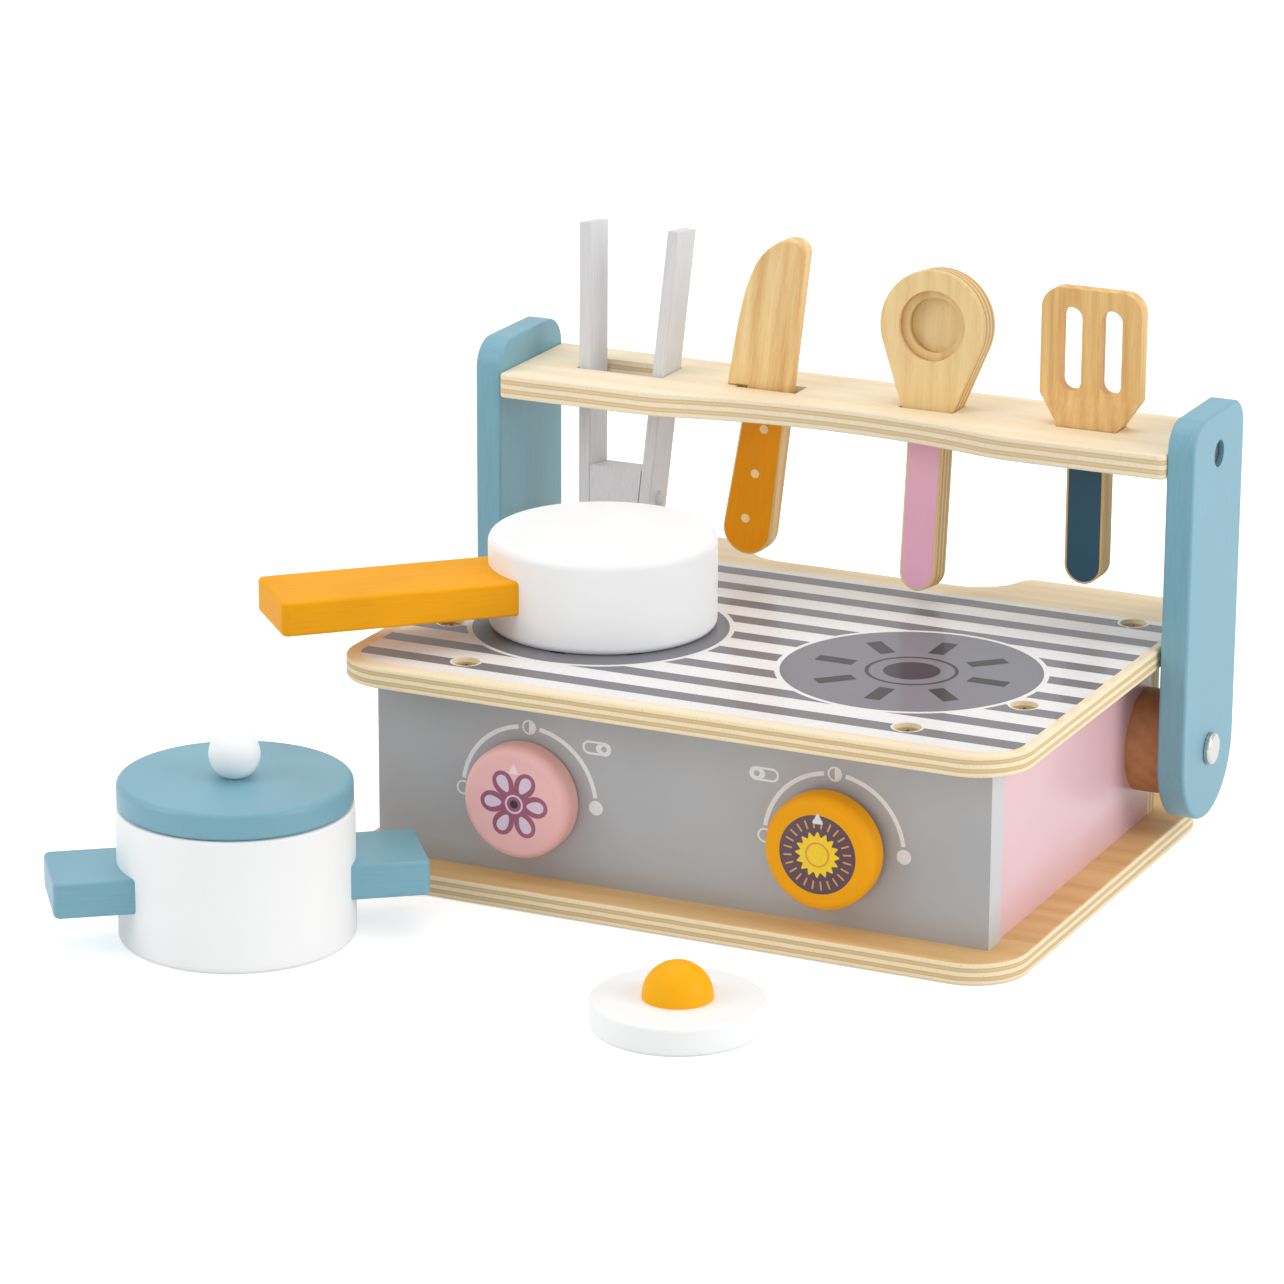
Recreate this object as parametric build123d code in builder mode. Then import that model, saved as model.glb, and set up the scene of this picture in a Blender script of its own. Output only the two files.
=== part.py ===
from build123d import *
import os
from math import acos, atan2, cos, hypot, radians, sin, tan

os.makedirs("parts", exist_ok=True)

# Stove box: two plates of one outline with four panels between them
plate_width = 289.0
plate_depth = 226.0
plate_thickness = 9.0
plate_corner_radius = 23.0
plate_edge_ease = 1.2
recess_depth = 21.6
recess_half_width = 40.0
recess_inner_radius = 20.8
recess_outer_radius = 7.5
panel_height = 73.5
panel_thickness = 12.0
side_panel_span = 259.0
front_panel_width = 261.0
front_panel_setback = 17.3
back_panel_thickness = 9.0
back_panel_setback = 2.9

# Screws through the plates into the panels, and through the arms into the shelf
screw_head_radius = 4.8
screw_head_height = 2.6
screw_shank_radius = 2.0
screw_thread_length = 20.0
screw_hole_radius = 5.5
screw_sink = 1.4
screw_fit = 0.05
screw_end_gap = 1.0
front_screw_x = 93.7
front_screw_inset = 4.7
side_screw_front_inset = 37.2
side_screw_back_inset = 6.9

# Folding frame: two arms on pivot bolts and the shelf between them
pivot_setback = 41.5
pivot_height = 44.0
pivot_bolt_radius = 3.0
pivot_running_fit = 0.05
pivot_head_radius = 6.5
pivot_head_height = 2.5
pivot_nut_width = 10.0
pivot_nut_thickness = 5.0
pivot_bolt_end = 1.5
spacer_radius = 21.0
arm_side_gap = 1.5
arm_play = 0.3
arm_thickness = 11.5
arm_width = 58.0
arm_top_height = 184.0
arm_corner_radius = 12.0
arm_edge_ease = 1.2
shelf_underside_height = 161.5
shelf_thickness = 10.0
shelf_front_overhang = 2.0
shelf_corner_radius = 3.0
shelf_edge_ease = 0.9
grip_half_width = 85.0
grip_depth = 10.5
grip_middle_radius = 265.0
slot_play = 0.4

# Knobs on the front panel
knob_spacing = 130.0
knob_height = 41.5
knob_radius = 23.0
knob_thickness = 10.5
knob_edge_radius = 4.0
knob_back_ease = 0.6
knob_axle_radius = 4.0
knob_axle_fit = 0.08
knob_axle_seat = 7.0
knob_axial_play = 3.0
left_knob_gap = 0.5
right_knob_gap = 2.5
retainer_radius = 9.0
retainer_thickness = 4.0

# Pan on the left burner
pan_x = -68.3
pan_y = -20.4
pan_radius = 46.0
pan_height = 38.5
pan_top_round = 4.0
pan_bottom_round = 3.0
pan_handle_angle = 223.8
pan_handle_reach = 137.6
pan_handle_width = 40.0
pan_handle_thickness = 14.1
handle_corner_radius = 3.0
handle_edge_round = 1.6
dowel_radius = 4.0
dowel_fit = 0.05
bore_overrun = 1.0
pan_dowel_depth = 16.0

# Pot with its lid, standing in front of the stove
pot_x = -146.5
pot_y = -182.2
pot_radius = 46.0
pot_height = 53.0
pot_wall = 8.7
pot_floor = 8.0
pot_bottom_round = 2.5
pot_rim_round = 0.8
pot_handle_angle = 37.0
pot_handle_reach = 72.5
pot_handle_width = 40.0
pot_handle_thickness = 14.2
pot_handle_height = 24.5
pot_dowel_depth = 6.0
lid_setback = 0.5
lid_thickness = 11.0
lid_edge_round = 2.5
lid_spigot_depth = 3.0
lid_spigot_fit = 0.5
ball_radius = 10.0
ball_height = 9.2
ball_dowel_radius = 3.0
ball_dowel_depth = 7.0

# Fried egg
egg_x = 47.3
egg_y = -195.6
egg_radius = 33.0
egg_height = 11.0
egg_edge_round = 1.5
yolk_radius = 13.4
yolk_rise = 0.6

# Utensils hung in the shelf's slots
tongs_x = -101.9
tongs_y = 73.8
tongs_lean = 7.0
tongs_splay = 3.2
tongs_leg_thickness = 5.2
tongs_leg_depth = 17.5
tongs_bottom_reach = 59.4
tongs_leg_length = 124.0
tongs_block_height = 23.2
tongs_block_width = 23.5
tongs_leg_fit = 0.15
tongs_pin_radius = 1.0
tongs_pin_play = 0.6
tongs_pin_depth = 8.0
tongs_pin_head_radius = 3.0
tongs_pin_head_height = 2.7
tongs_pin_head_rim = 0.3
tongs_pin_drop = 11.5
knife_x = -36.5
knife_y = 71.0
knife_tilt = 6.5
knife_thickness = 8.5
knife_neck_half_width = 9.1
knife_heel_half_width = 18.1
knife_blade_reach = 68.7
knife_tip_radius = 5.6
knife_edge_points = ((-16.2, 33.7), (-13.4, 17.5), (-8.6, 7.3), (-1.3, 1.0))
knife_heel_direction = (0.05, 1.0)
knife_handle_length = 66.8
knife_end_radius = 10.8
knife_slot_depth = 12.0
knife_slot_spare = 4.0
spoon_x = 34.9
spoon_y = 71.2
spoon_lean = 6.2
spoon_thickness = 12.5
spoon_head_radius = 22.7
spoon_head_height = 38.3
spoon_handle_length = 70.2
spoon_handle_width = 15.4
spoon_neck_width = 23.0
spoon_rim_hole_radius = 14.3
spoon_rim_hole_depth = 3.6
spoon_bowl_radius = 11.2
spoon_bowl_depth = 7.6
spatula_x = 103.8
spatula_y = 70.5
spatula_head_width = 42.5
spatula_head_height = 56.1
spatula_head_thickness = 6.4
spatula_corner_radius = 8.5
spatula_foot_width = 25.0
spatula_taper_height = 12.5
spatula_handle_length = 59.2
spatula_handle_width = 15.7
spatula_handle_thickness = 10.3
spatula_slot_depth = 13.0
spatula_slot_width = 9.2
spatula_slot_length = 34.5
spatula_slot_spacing = 16.9
spatula_slot_setback = 7.6
utensil_edge_round = 0.8
seat_gap = 0.3

# Levels and faces that follow from the sizes above
plate_front = -plate_depth / 2
plate_back = plate_depth / 2
recess_back = plate_back - recess_depth
panel_bottom = plate_thickness
panel_top = panel_bottom + panel_height
hob_level = panel_top + plate_thickness
front_panel_face = plate_front + front_panel_setback
front_panel_rear = front_panel_face + panel_thickness
back_panel_rear = recess_back - back_panel_setback
back_panel_face = back_panel_rear - back_panel_thickness
side_panel_face = side_panel_span / 2
side_screw_x = side_panel_face - panel_thickness / 2
front_screw_y = front_panel_face + front_screw_inset
side_screw_front_y = front_panel_rear + side_screw_front_inset
side_screw_back_y = back_panel_face - side_screw_back_inset
pivot_y = plate_back - pivot_setback
arm_inner_face = plate_width / 2 + arm_side_gap
arm_outer_face = arm_inner_face + arm_thickness
shelf_middle = shelf_underside_height + shelf_thickness / 2
shelf_front = pivot_y - arm_width / 2 - shelf_front_overhang
shelf_back = pivot_y + arm_width / 2
lid_radius = pot_radius - lid_setback

half_screws = [
    (front_screw_x, front_screw_y),
    (side_screw_x, side_screw_front_y),
    (side_screw_x, side_screw_back_y),
]
screw_places = [(side * x, y) for side in (-1, 1) for x, y in half_screws]
sides = (("left", -1), ("right", 1))


# Plates
def plate_outline(level):
    """Plates' face at a level: rounded corners, and a back edge that steps forward in the middle."""
    blend = recess_inner_radius + recess_outer_radius
    turn = acos(1 - recess_depth / blend)
    edge = recess_half_width
    bend = (edge + recess_inner_radius * sin(turn), recess_back + recess_inner_radius * (1 - cos(turn)))
    shoulder = (edge + blend * sin(turn), plate_back)
    side = plate_width / 2
    corner = side - plate_corner_radius
    with BuildSketch(Plane.XY.offset(level)) as outline:
        with BuildLine():
            Line((0, recess_back), (edge, recess_back))
            TangentArc((edge, recess_back), bend, tangent=(1, 0))
            TangentArc(bend, shoulder, tangent=(cos(turn), sin(turn)))
            Line(shoulder, (corner, plate_back))
            TangentArc((corner, plate_back), (side, plate_back - plate_corner_radius), tangent=(1, 0))
            Line((side, plate_back - plate_corner_radius), (side, plate_front + plate_corner_radius))
            TangentArc((side, plate_front + plate_corner_radius), (corner, plate_front), tangent=(0, -1))
            Line((corner, plate_front), (0, plate_front))
            mirror(about=Plane.YZ)
        make_face()
    return outline.sketch


def entry_planes(places, level, direction):
    """Planes at one level, facing up or down, where screws enter."""
    return [Plane((x, y, level), z_dir=(0, 0, direction)) for x, y in places]


with BuildPart() as base_plate:
    extrude(plate_outline(0), amount=plate_thickness)
    fillet(base_plate.faces().filter_by(Axis.Z).edges(), plate_edge_ease)
    with Locations(entry_planes(screw_places, 0, -1)):
        CounterBoreHole(screw_shank_radius + screw_fit, screw_hole_radius, screw_sink + screw_head_height)
base_plate.part.label = "base_plate"
export_step(base_plate.part, "parts/base_plate.step")

with BuildPart() as top_plate:
    extrude(plate_outline(panel_top), amount=plate_thickness)
    fillet(top_plate.faces().filter_by(Axis.Z).edges(), plate_edge_ease)
    with Locations(entry_planes(screw_places, hob_level, 1)):
        CounterBoreHole(screw_shank_radius + screw_fit, screw_hole_radius, screw_sink + screw_head_height)
top_plate.part.label = "top_plate"
export_step(top_plate.part, "parts/top_plate.step")

# Panels between the plates
panel_ends = ((panel_top, 1), (panel_bottom, -1))
front_screws = [(side * front_screw_x, front_screw_y) for name, side in sides]
with BuildPart() as front_panel:
    with BuildSketch(Plane.XY.offset(panel_bottom)):
        with Locations((0, front_panel_face)):
            Rectangle(front_panel_width, panel_thickness, align=(Align.CENTER, Align.MIN))
    extrude(amount=panel_height)
    with BuildSketch(Plane.XZ.offset(-front_panel_face)):
        with Locations([(side * knob_spacing / 2, knob_height) for name, side in sides]):
            Circle(knob_axle_radius + knob_axle_fit)
    extrude(amount=-panel_thickness, mode=Mode.SUBTRACT)
    for level, direction in panel_ends:
        with Locations(entry_planes(front_screws, level, direction)):
            Hole(screw_shank_radius + screw_fit, screw_thread_length)
front_panel.part.label = "front_panel"
export_step(front_panel.part, "parts/front_panel.step")

with BuildPart() as back_panel:
    with BuildSketch(Plane.XY.offset(panel_bottom)):
        with Locations((0, back_panel_face)):
            Rectangle(side_panel_span, back_panel_thickness, align=(Align.CENTER, Align.MIN))
    extrude(amount=panel_height)
back_panel.part.label = "back_panel"
export_step(back_panel.part, "parts/back_panel.step")

side_panel_depth = back_panel_face - front_panel_rear
for name, side in sides:
    side_screws = [(side * side_screw_x, y) for y in (side_screw_front_y, side_screw_back_y)]
    with BuildPart() as side_panel:
        with BuildSketch(Plane.XY.offset(panel_bottom)):
            with Locations((side * side_screw_x, front_panel_rear)):
                Rectangle(panel_thickness, side_panel_depth, align=(Align.CENTER, Align.MIN))
        extrude(amount=panel_height)
        with BuildSketch(Plane.YZ.offset(side * side_panel_face)):
            with Locations((pivot_y, pivot_height)):
                Circle(pivot_bolt_radius + pivot_running_fit)
        extrude(amount=-side * panel_thickness, mode=Mode.SUBTRACT)
        for level, direction in panel_ends:
            with Locations(entry_planes(side_screws, level, direction)):
                Hole(screw_shank_radius + screw_fit, screw_thread_length)
    side_panel.part.label = f"{name}_panel"
    export_step(side_panel.part, f"parts/{name}_panel.step")


# Screws that hold the plates and the shelf
def screw(seat, grip):
    """Round-headed screw: the head stands on the seat plane, the shank passes the grip behind it."""
    with BuildPart() as piece:
        with BuildSketch(seat):
            Circle(screw_head_radius)
        extrude(amount=screw_head_height)
        fillet(piece.faces().sort_by(Axis(seat.origin, seat.z_dir))[-1].edges(), screw_head_height / 2)
        with BuildSketch(seat):
            Circle(screw_shank_radius)
        extrude(amount=-(grip + screw_thread_length - screw_end_gap))
    return piece.part


screw_depth = screw_sink + screw_head_height
plate_grip = plate_thickness - screw_depth
for number, place in enumerate(screw_places, start=1):
    for group, level, direction in (("base", 0, -1), ("top", hob_level, 1)):
        seat = Plane((*place, level - direction * screw_depth), z_dir=(0, 0, direction))
        plate_screw = screw(seat, plate_grip)
        plate_screw.label = f"{group}_screw_{number}"
        export_step(plate_screw, f"parts/{group}_screw_{number}.step")

# Pivots: bolt, nut and spacer at each side of the box
bolt_grip = arm_outer_face + arm_play - side_panel_face + panel_thickness
bolt_length = bolt_grip + pivot_nut_thickness + pivot_bolt_end
nut_face = side_panel_face - panel_thickness
for name, side in sides:
    head_seat = Plane((side * (arm_outer_face + arm_play), pivot_y, pivot_height), z_dir=(side, 0, 0))
    nut_seat = Plane((side * nut_face, pivot_y, pivot_height), z_dir=(-side, 0, 0))
    spacer_seat = Plane((side * side_panel_face, pivot_y, pivot_height), z_dir=(side, 0, 0))

    with BuildPart() as pivot_bolt:
        with BuildSketch(head_seat):
            Circle(pivot_head_radius)
        extrude(amount=pivot_head_height)
        fillet(pivot_bolt.edges().sort_by(Axis.X)[-1 if side > 0 else 0], pivot_head_height / 2)
        with BuildSketch(head_seat):
            Circle(pivot_bolt_radius)
        extrude(amount=-bolt_length)
    pivot_bolt.part.label = f"{name}_pivot_bolt"
    export_step(pivot_bolt.part, f"parts/{name}_pivot_bolt.step")

    with BuildPart() as pivot_nut:
        with BuildSketch(nut_seat):
            RegularPolygon(pivot_nut_width / 2, 6, major_radius=False)
            Circle(pivot_bolt_radius + screw_fit, mode=Mode.SUBTRACT)
        extrude(amount=pivot_nut_thickness)
    pivot_nut.part.label = f"{name}_pivot_nut"
    export_step(pivot_nut.part, f"parts/{name}_pivot_nut.step")

    with BuildPart() as spacer:
        with BuildSketch(spacer_seat):
            Circle(spacer_radius)
            Circle(pivot_bolt_radius + pivot_running_fit, mode=Mode.SUBTRACT)
        extrude(amount=arm_inner_face - side_panel_face - arm_play)
    spacer.part.label = f"{name}_spacer"
    export_step(spacer.part, f"parts/{name}_spacer.step")

# Frame arms, with the shelf's screws through their tops
for name, side in sides:
    with BuildPart() as arm:
        with BuildSketch(Plane.YZ.offset(side * arm_inner_face)) as arm_outline:
            with Locations((pivot_y, pivot_height)):
                Rectangle(arm_width, arm_top_height - pivot_height, align=(Align.CENTER, Align.MIN))
            fillet(arm_outline.vertices().group_by(Axis.Y)[-1], arm_corner_radius)
            with Locations((pivot_y, pivot_height)):
                Circle(arm_width / 2)
        extrude(amount=side * arm_thickness)
        fillet(arm.faces().filter_by(Axis.X).edges(), arm_edge_ease)
        with Locations(Plane((side * arm_outer_face, pivot_y, pivot_height), z_dir=(side, 0, 0))):
            Hole(pivot_bolt_radius + pivot_running_fit, arm_thickness)
        with Locations(Plane((side * arm_outer_face, pivot_y, shelf_middle), z_dir=(side, 0, 0))):
            CounterBoreHole(screw_shank_radius + screw_fit, screw_hole_radius, screw_depth)
    arm.part.label = f"{name}_arm"
    export_step(arm.part, f"parts/{name}_arm.step")

    seat = Plane((side * (arm_outer_face - screw_depth), pivot_y, shelf_middle), z_dir=(side, 0, 0))
    shelf_screw = screw(seat, arm_thickness - screw_depth)
    shelf_screw.label = f"{name}_shelf_screw"
    export_step(shelf_screw, f"parts/{name}_shelf_screw.step")

# Slots of the shelf, each sized from the utensil that hangs in it
tilt = radians(knife_tilt)
half_shelf = shelf_thickness / 2
tongs_block_top = tongs_block_height - tongs_bottom_reach
tongs_hinge_x = tongs_block_width / 2 + tongs_leg_fit
tongs_climb = half_shelf / cos(radians(tongs_lean)) - tongs_block_top
tongs_spread = tongs_leg_thickness / cos(radians(tongs_splay)) + tongs_climb * tan(radians(tongs_splay))
tongs_slot_half = tongs_hinge_x + tongs_spread + slot_play


def leaning_depth(thickness, lean):
    """Depth of slot that a leaning piece needs, with play at both faces."""
    return thickness / cos(radians(lean)) + shelf_thickness * tan(radians(lean)) + 2 * slot_play


knife_end_half_width = 2 * knife_end_radius - knife_neck_half_width
knife_slot_left = knife_x - knife_end_half_width / cos(tilt) - half_shelf * tan(tilt) - slot_play
knife_slot_right = knife_x + knife_neck_half_width / cos(tilt) + half_shelf * tan(tilt) + knife_slot_spare
knife_slot_middle = (knife_slot_left + knife_slot_right) / 2
spoon_slot_half = spoon_neck_width / 2 + slot_play
spatula_slot_half = spatula_foot_width / 2 + slot_play
tongs_slot_depth = leaning_depth(tongs_leg_depth, tongs_lean)
spoon_slot_depth = leaning_depth(spoon_thickness, spoon_lean)
slots = (
    (tongs_x, tongs_y, 2 * tongs_slot_half, tongs_slot_depth),
    (knife_slot_middle, knife_y, knife_slot_right - knife_slot_left, knife_slot_depth),
    (spoon_x, spoon_y, 2 * spoon_slot_half, spoon_slot_depth),
    (spatula_x, spatula_y, 2 * spatula_slot_half, spatula_slot_depth),
)

with BuildPart() as shelf:
    grip_end_radius = (grip_half_width**2 + grip_depth**2) / (2 * grip_depth) - grip_middle_radius
    turn = 2 * atan2(grip_depth, grip_half_width)
    grip_bottom = shelf_front + grip_depth
    grip_bend = (grip_middle_radius * sin(turn), grip_bottom - grip_middle_radius * (1 - cos(turn)))
    with BuildSketch(Plane.XY.offset(shelf_underside_height)) as shelf_outline:
        with BuildLine():
            TangentArc((0, grip_bottom), grip_bend, tangent=(1, 0))
            TangentArc(grip_bend, (grip_half_width, shelf_front), tangent=(cos(turn), -sin(turn)))
            Polyline(
                (grip_half_width, shelf_front),
                (arm_inner_face, shelf_front),
                (arm_inner_face, shelf_back),
                (0, shelf_back),
            )
            mirror(about=Plane.YZ)
        make_face()
        ends = shelf_outline.vertices().group_by(Axis.X)
        fillet([end.sort_by(Axis.Y)[0] for end in (ends[0], ends[-1])], shelf_corner_radius)
    extrude(amount=shelf_thickness)
    fillet(shelf.faces().filter_by(Axis.Z).edges(), shelf_edge_ease)
    with BuildSketch(Plane.XY.offset(shelf_underside_height)):
        for slot_x, slot_y, slot_width, slot_depth in slots:
            with Locations((slot_x, slot_y)):
                Rectangle(slot_width, slot_depth)
    extrude(amount=shelf_thickness, mode=Mode.SUBTRACT)
    for name, side in sides:
        with Locations(Plane((side * arm_inner_face, pivot_y, shelf_middle), z_dir=(side, 0, 0))):
            Hole(screw_shank_radius + screw_fit, screw_thread_length)
shelf.part.label = "shelf"
export_step(shelf.part, "parts/shelf.step")

# Knobs: each turns with a glued axle and the retainer behind the panel
for name, side, gap in (("left", -1, left_knob_gap), ("right", 1, right_knob_gap)):
    centre = (side * knob_spacing / 2, knob_height)
    back_plane = Plane.XZ.offset(gap - front_panel_face)
    retainer_plane = Plane.XZ.offset(-front_panel_rear - (knob_axial_play - gap))

    with BuildPart() as knob:
        with BuildSketch(back_plane):
            with Locations(centre):
                Circle(knob_radius)
        extrude(amount=knob_thickness)
        fillet(knob.edges().sort_by(Axis.Y)[0], knob_edge_radius)
        fillet(knob.edges().sort_by(Axis.Y)[-1], knob_back_ease)
        with BuildSketch(back_plane):
            with Locations(centre):
                Circle(knob_axle_radius + dowel_fit)
        extrude(amount=knob_axle_seat, mode=Mode.SUBTRACT)
    knob.part.label = f"{name}_knob"
    export_step(knob.part, f"parts/{name}_knob.step")

    with BuildPart() as knob_axle:
        with BuildSketch(back_plane.offset(knob_axle_seat)):
            with Locations(centre):
                Circle(knob_axle_radius)
        extrude(amount=-(knob_axle_seat + knob_axial_play + panel_thickness + retainer_thickness))
    knob_axle.part.label = f"{name}_knob_axle"
    export_step(knob_axle.part, f"parts/{name}_knob_axle.step")

    with BuildPart() as knob_retainer:
        with BuildSketch(retainer_plane):
            with Locations(centre):
                Circle(retainer_radius)
                Circle(knob_axle_radius + dowel_fit, mode=Mode.SUBTRACT)
        extrude(amount=-retainer_thickness)
    knob_retainer.part.label = f"{name}_knob_retainer"
    export_step(knob_retainer.part, f"parts/{name}_knob_retainer.step")


# Handles of the pan and the pot
def heading(angle):
    """Level direction at an angle from the X axis."""
    return Vector(cos(radians(angle)), sin(radians(angle)), 0)


def dowel_plane(centre, angle, body_radius):
    """Plane on a round body's wall where a dowel crosses into its handle."""
    return Plane(Vector(centre) + heading(angle) * body_radius, z_dir=heading(angle))


def slab_handle(centre, angle, body_radius, reach, width, thickness, dowel_depth):
    """Slab whose inner end is scribed to a round body and bored for its dowel."""
    underside = Plane(Vector(centre) - Vector(0, 0, thickness / 2), x_dir=heading(angle))
    with BuildPart() as slab:
        with BuildSketch(underside) as outline:
            with Locations((body_radius / 2, 0)):
                Rectangle(reach - body_radius / 2, width, align=(Align.MIN, Align.CENTER))
            fillet(outline.vertices().group_by(Axis.X)[-1], handle_corner_radius)
            Circle(body_radius, mode=Mode.SUBTRACT)
        extrude(amount=thickness)
        rims = slab.faces().filter_by(Axis.Z).edges()
        scribed = [edge for edge in rims.filter_by(GeomType.CIRCLE) if edge.radius > body_radius / 2]
        fillet([edge for edge in rims if edge not in scribed], handle_edge_round)
        with BuildSketch(dowel_plane(centre, angle, body_radius - bore_overrun)):
            Circle(dowel_radius + dowel_fit)
        extrude(amount=dowel_depth + bore_overrun, mode=Mode.SUBTRACT)
    return slab.part


def handle_dowel(centre, angle, body_radius, depth):
    """Dowel that reaches the same depth into the body and the handle."""
    with BuildPart() as dowel:
        with BuildSketch(dowel_plane(centre, angle, body_radius)):
            Circle(dowel_radius)
        extrude(amount=depth - dowel_fit, both=True)
    return dowel.part


# Pan
pan_middle = (pan_x, pan_y, hob_level + pan_height / 2)
with BuildPart() as pan_body:
    with BuildSketch(Plane.XY.offset(hob_level)):
        with Locations((pan_x, pan_y)):
            Circle(pan_radius)
    extrude(amount=pan_height)
    fillet(pan_body.edges().sort_by(Axis.Z)[-1], pan_top_round)
    fillet(pan_body.edges().sort_by(Axis.Z)[0], pan_bottom_round)
    with BuildSketch(dowel_plane(pan_middle, pan_handle_angle, pan_radius)):
        Circle(dowel_radius + dowel_fit)
    extrude(amount=-pan_dowel_depth, mode=Mode.SUBTRACT)
pan_body.part.label = "pan_body"
export_step(pan_body.part, "parts/pan_body.step")

pan_handle = slab_handle(
    pan_middle,
    pan_handle_angle,
    pan_radius,
    pan_handle_reach,
    pan_handle_width,
    pan_handle_thickness,
    pan_dowel_depth,
)
pan_handle.label = "pan_handle"
export_step(pan_handle, "parts/pan_handle.step")

pan_dowel = handle_dowel(pan_middle, pan_handle_angle, pan_radius, pan_dowel_depth)
pan_dowel.label = "pan_dowel"
export_step(pan_dowel, "parts/pan_dowel.step")

# Pot
pot_middle = (pot_x, pot_y, pot_handle_height)
pot_handles = (("left", pot_handle_angle + 180), ("right", pot_handle_angle))
with BuildPart() as pot_body:
    with BuildSketch(Plane.XY):
        with Locations((pot_x, pot_y)):
            Circle(pot_radius)
    extrude(amount=pot_height)
    fillet(pot_body.edges().sort_by(Axis.Z)[0], pot_bottom_round)
    with BuildSketch(Plane.XY.offset(pot_height)):
        with Locations((pot_x, pot_y)):
            Circle(pot_radius - pot_wall)
    extrude(amount=pot_floor - pot_height, mode=Mode.SUBTRACT)
    fillet(pot_body.faces().sort_by(Axis.Z)[-1].edges(), pot_rim_round)
    for name, angle in pot_handles:
        with BuildSketch(dowel_plane(pot_middle, angle, pot_radius)):
            Circle(dowel_radius + dowel_fit)
    extrude(amount=-pot_dowel_depth, mode=Mode.SUBTRACT)
pot_body.part.label = "pot_body"
export_step(pot_body.part, "parts/pot_body.step")

for name, angle in pot_handles:
    pot_handle = slab_handle(
        pot_middle,
        angle,
        pot_radius,
        pot_handle_reach,
        pot_handle_width,
        pot_handle_thickness,
        pot_dowel_depth,
    )
    pot_handle.label = f"pot_{name}_handle"
    export_step(pot_handle, f"parts/pot_{name}_handle.step")

    pot_dowel = handle_dowel(pot_middle, angle, pot_radius, pot_dowel_depth)
    pot_dowel.label = f"pot_{name}_dowel"
    export_step(pot_dowel, f"parts/pot_{name}_dowel.step")

# Lid, with a spigot that drops into the pot and a ball to lift it by
lid_level = pot_height + lid_thickness
with BuildPart() as pot_lid:
    with BuildSketch(Plane.XY.offset(pot_height)):
        with Locations((pot_x, pot_y)):
            Circle(lid_radius)
    extrude(amount=lid_thickness)
    fillet(pot_lid.edges().filter_by(GeomType.CIRCLE), lid_edge_round)
    with BuildSketch(Plane.XY.offset(pot_height)):
        with Locations((pot_x, pot_y)):
            Circle(pot_radius - pot_wall - lid_spigot_fit)
    extrude(amount=-lid_spigot_depth)
    with Locations((pot_x, pot_y, lid_level)):
        Hole(ball_dowel_radius + dowel_fit, ball_dowel_depth)
pot_lid.part.label = "pot_lid"
export_step(pot_lid.part, "parts/pot_lid.step")

with BuildPart() as lid_ball:
    with Locations((pot_x, pot_y, lid_level + ball_height)):
        Sphere(ball_radius)
    split(bisect_by=Plane.XY.offset(lid_level), keep=Keep.TOP)
    with Locations(Plane((pot_x, pot_y, lid_level), z_dir=(0, 0, -1))):
        Hole(ball_dowel_radius + dowel_fit, ball_dowel_depth)
lid_ball.part.label = "lid_ball"
export_step(lid_ball.part, "parts/lid_ball.step")

with BuildPart() as lid_dowel:
    with BuildSketch(Plane.XY.offset(lid_level)):
        with Locations((pot_x, pot_y)):
            Circle(ball_dowel_radius)
    extrude(amount=ball_dowel_depth - dowel_fit, both=True)
lid_dowel.part.label = "lid_dowel"
export_step(lid_dowel.part, "parts/lid_dowel.step")

# Egg
with BuildPart() as egg_white:
    with BuildSketch(Plane.XY):
        with Locations((egg_x, egg_y)):
            Circle(egg_radius)
    extrude(amount=egg_height)
    fillet(egg_white.edges().filter_by(GeomType.CIRCLE), egg_edge_round)
egg_white.part.label = "egg_white"
export_step(egg_white.part, "parts/egg_white.step")

with BuildPart() as egg_yolk:
    with Locations((egg_x, egg_y, egg_height + yolk_rise)):
        Sphere(yolk_radius)
    split(bisect_by=Plane.XY.offset(egg_height), keep=Keep.TOP)
egg_yolk.part.label = "egg_yolk"
export_step(egg_yolk.part, "parts/egg_yolk.step")


# Tongs: a wedge block with a springy leg pinned to each side
def leaning_plane(x, y, lean):
    """Plane through the shelf's middle, facing front, whose top leans back."""
    return Plane((x, y, shelf_middle), x_dir=(1, 0, 0), z_dir=(0, -cos(radians(lean)), sin(radians(lean))))


tongs_plane = leaning_plane(tongs_x, tongs_y, tongs_lean)
block_narrowing = tongs_block_height * tan(radians(tongs_splay))
with BuildPart() as tongs_block:
    with BuildSketch(tongs_plane):
        with BuildLine():
            Polyline(
                (0, tongs_block_top),
                (tongs_block_width / 2, tongs_block_top),
                (tongs_block_width / 2 - block_narrowing, -tongs_bottom_reach),
                (0, -tongs_bottom_reach),
            )
            mirror(about=Plane.YZ)
        make_face()
    extrude(amount=tongs_leg_depth / 2, both=True)
    pin_planes = []
    for name, side in sides:
        across = Vector(side * cos(radians(tongs_splay)), -sin(radians(tongs_splay)), 0)
        hinge = tongs_plane.from_local_coords(Vector(side * tongs_hinge_x, tongs_block_top, 0))
        outward = tongs_plane.from_local_coords(across) - tongs_plane.origin
        leg_plane = Plane(hinge, x_dir=outward, z_dir=tongs_plane.z_dir * side)
        pin_origin = leg_plane.from_local_coords(Vector(tongs_leg_thickness, -tongs_pin_drop, 0))
        pin_planes.append((name, leg_plane, Plane(pin_origin, z_dir=outward)))
        with BuildSketch(pin_planes[-1][2]):
            Circle(tongs_pin_radius + tongs_pin_play)
        extrude(amount=-(tongs_leg_thickness + tongs_pin_depth + tongs_pin_play), mode=Mode.SUBTRACT)
tongs_block.part.label = "tongs_block"
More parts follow.
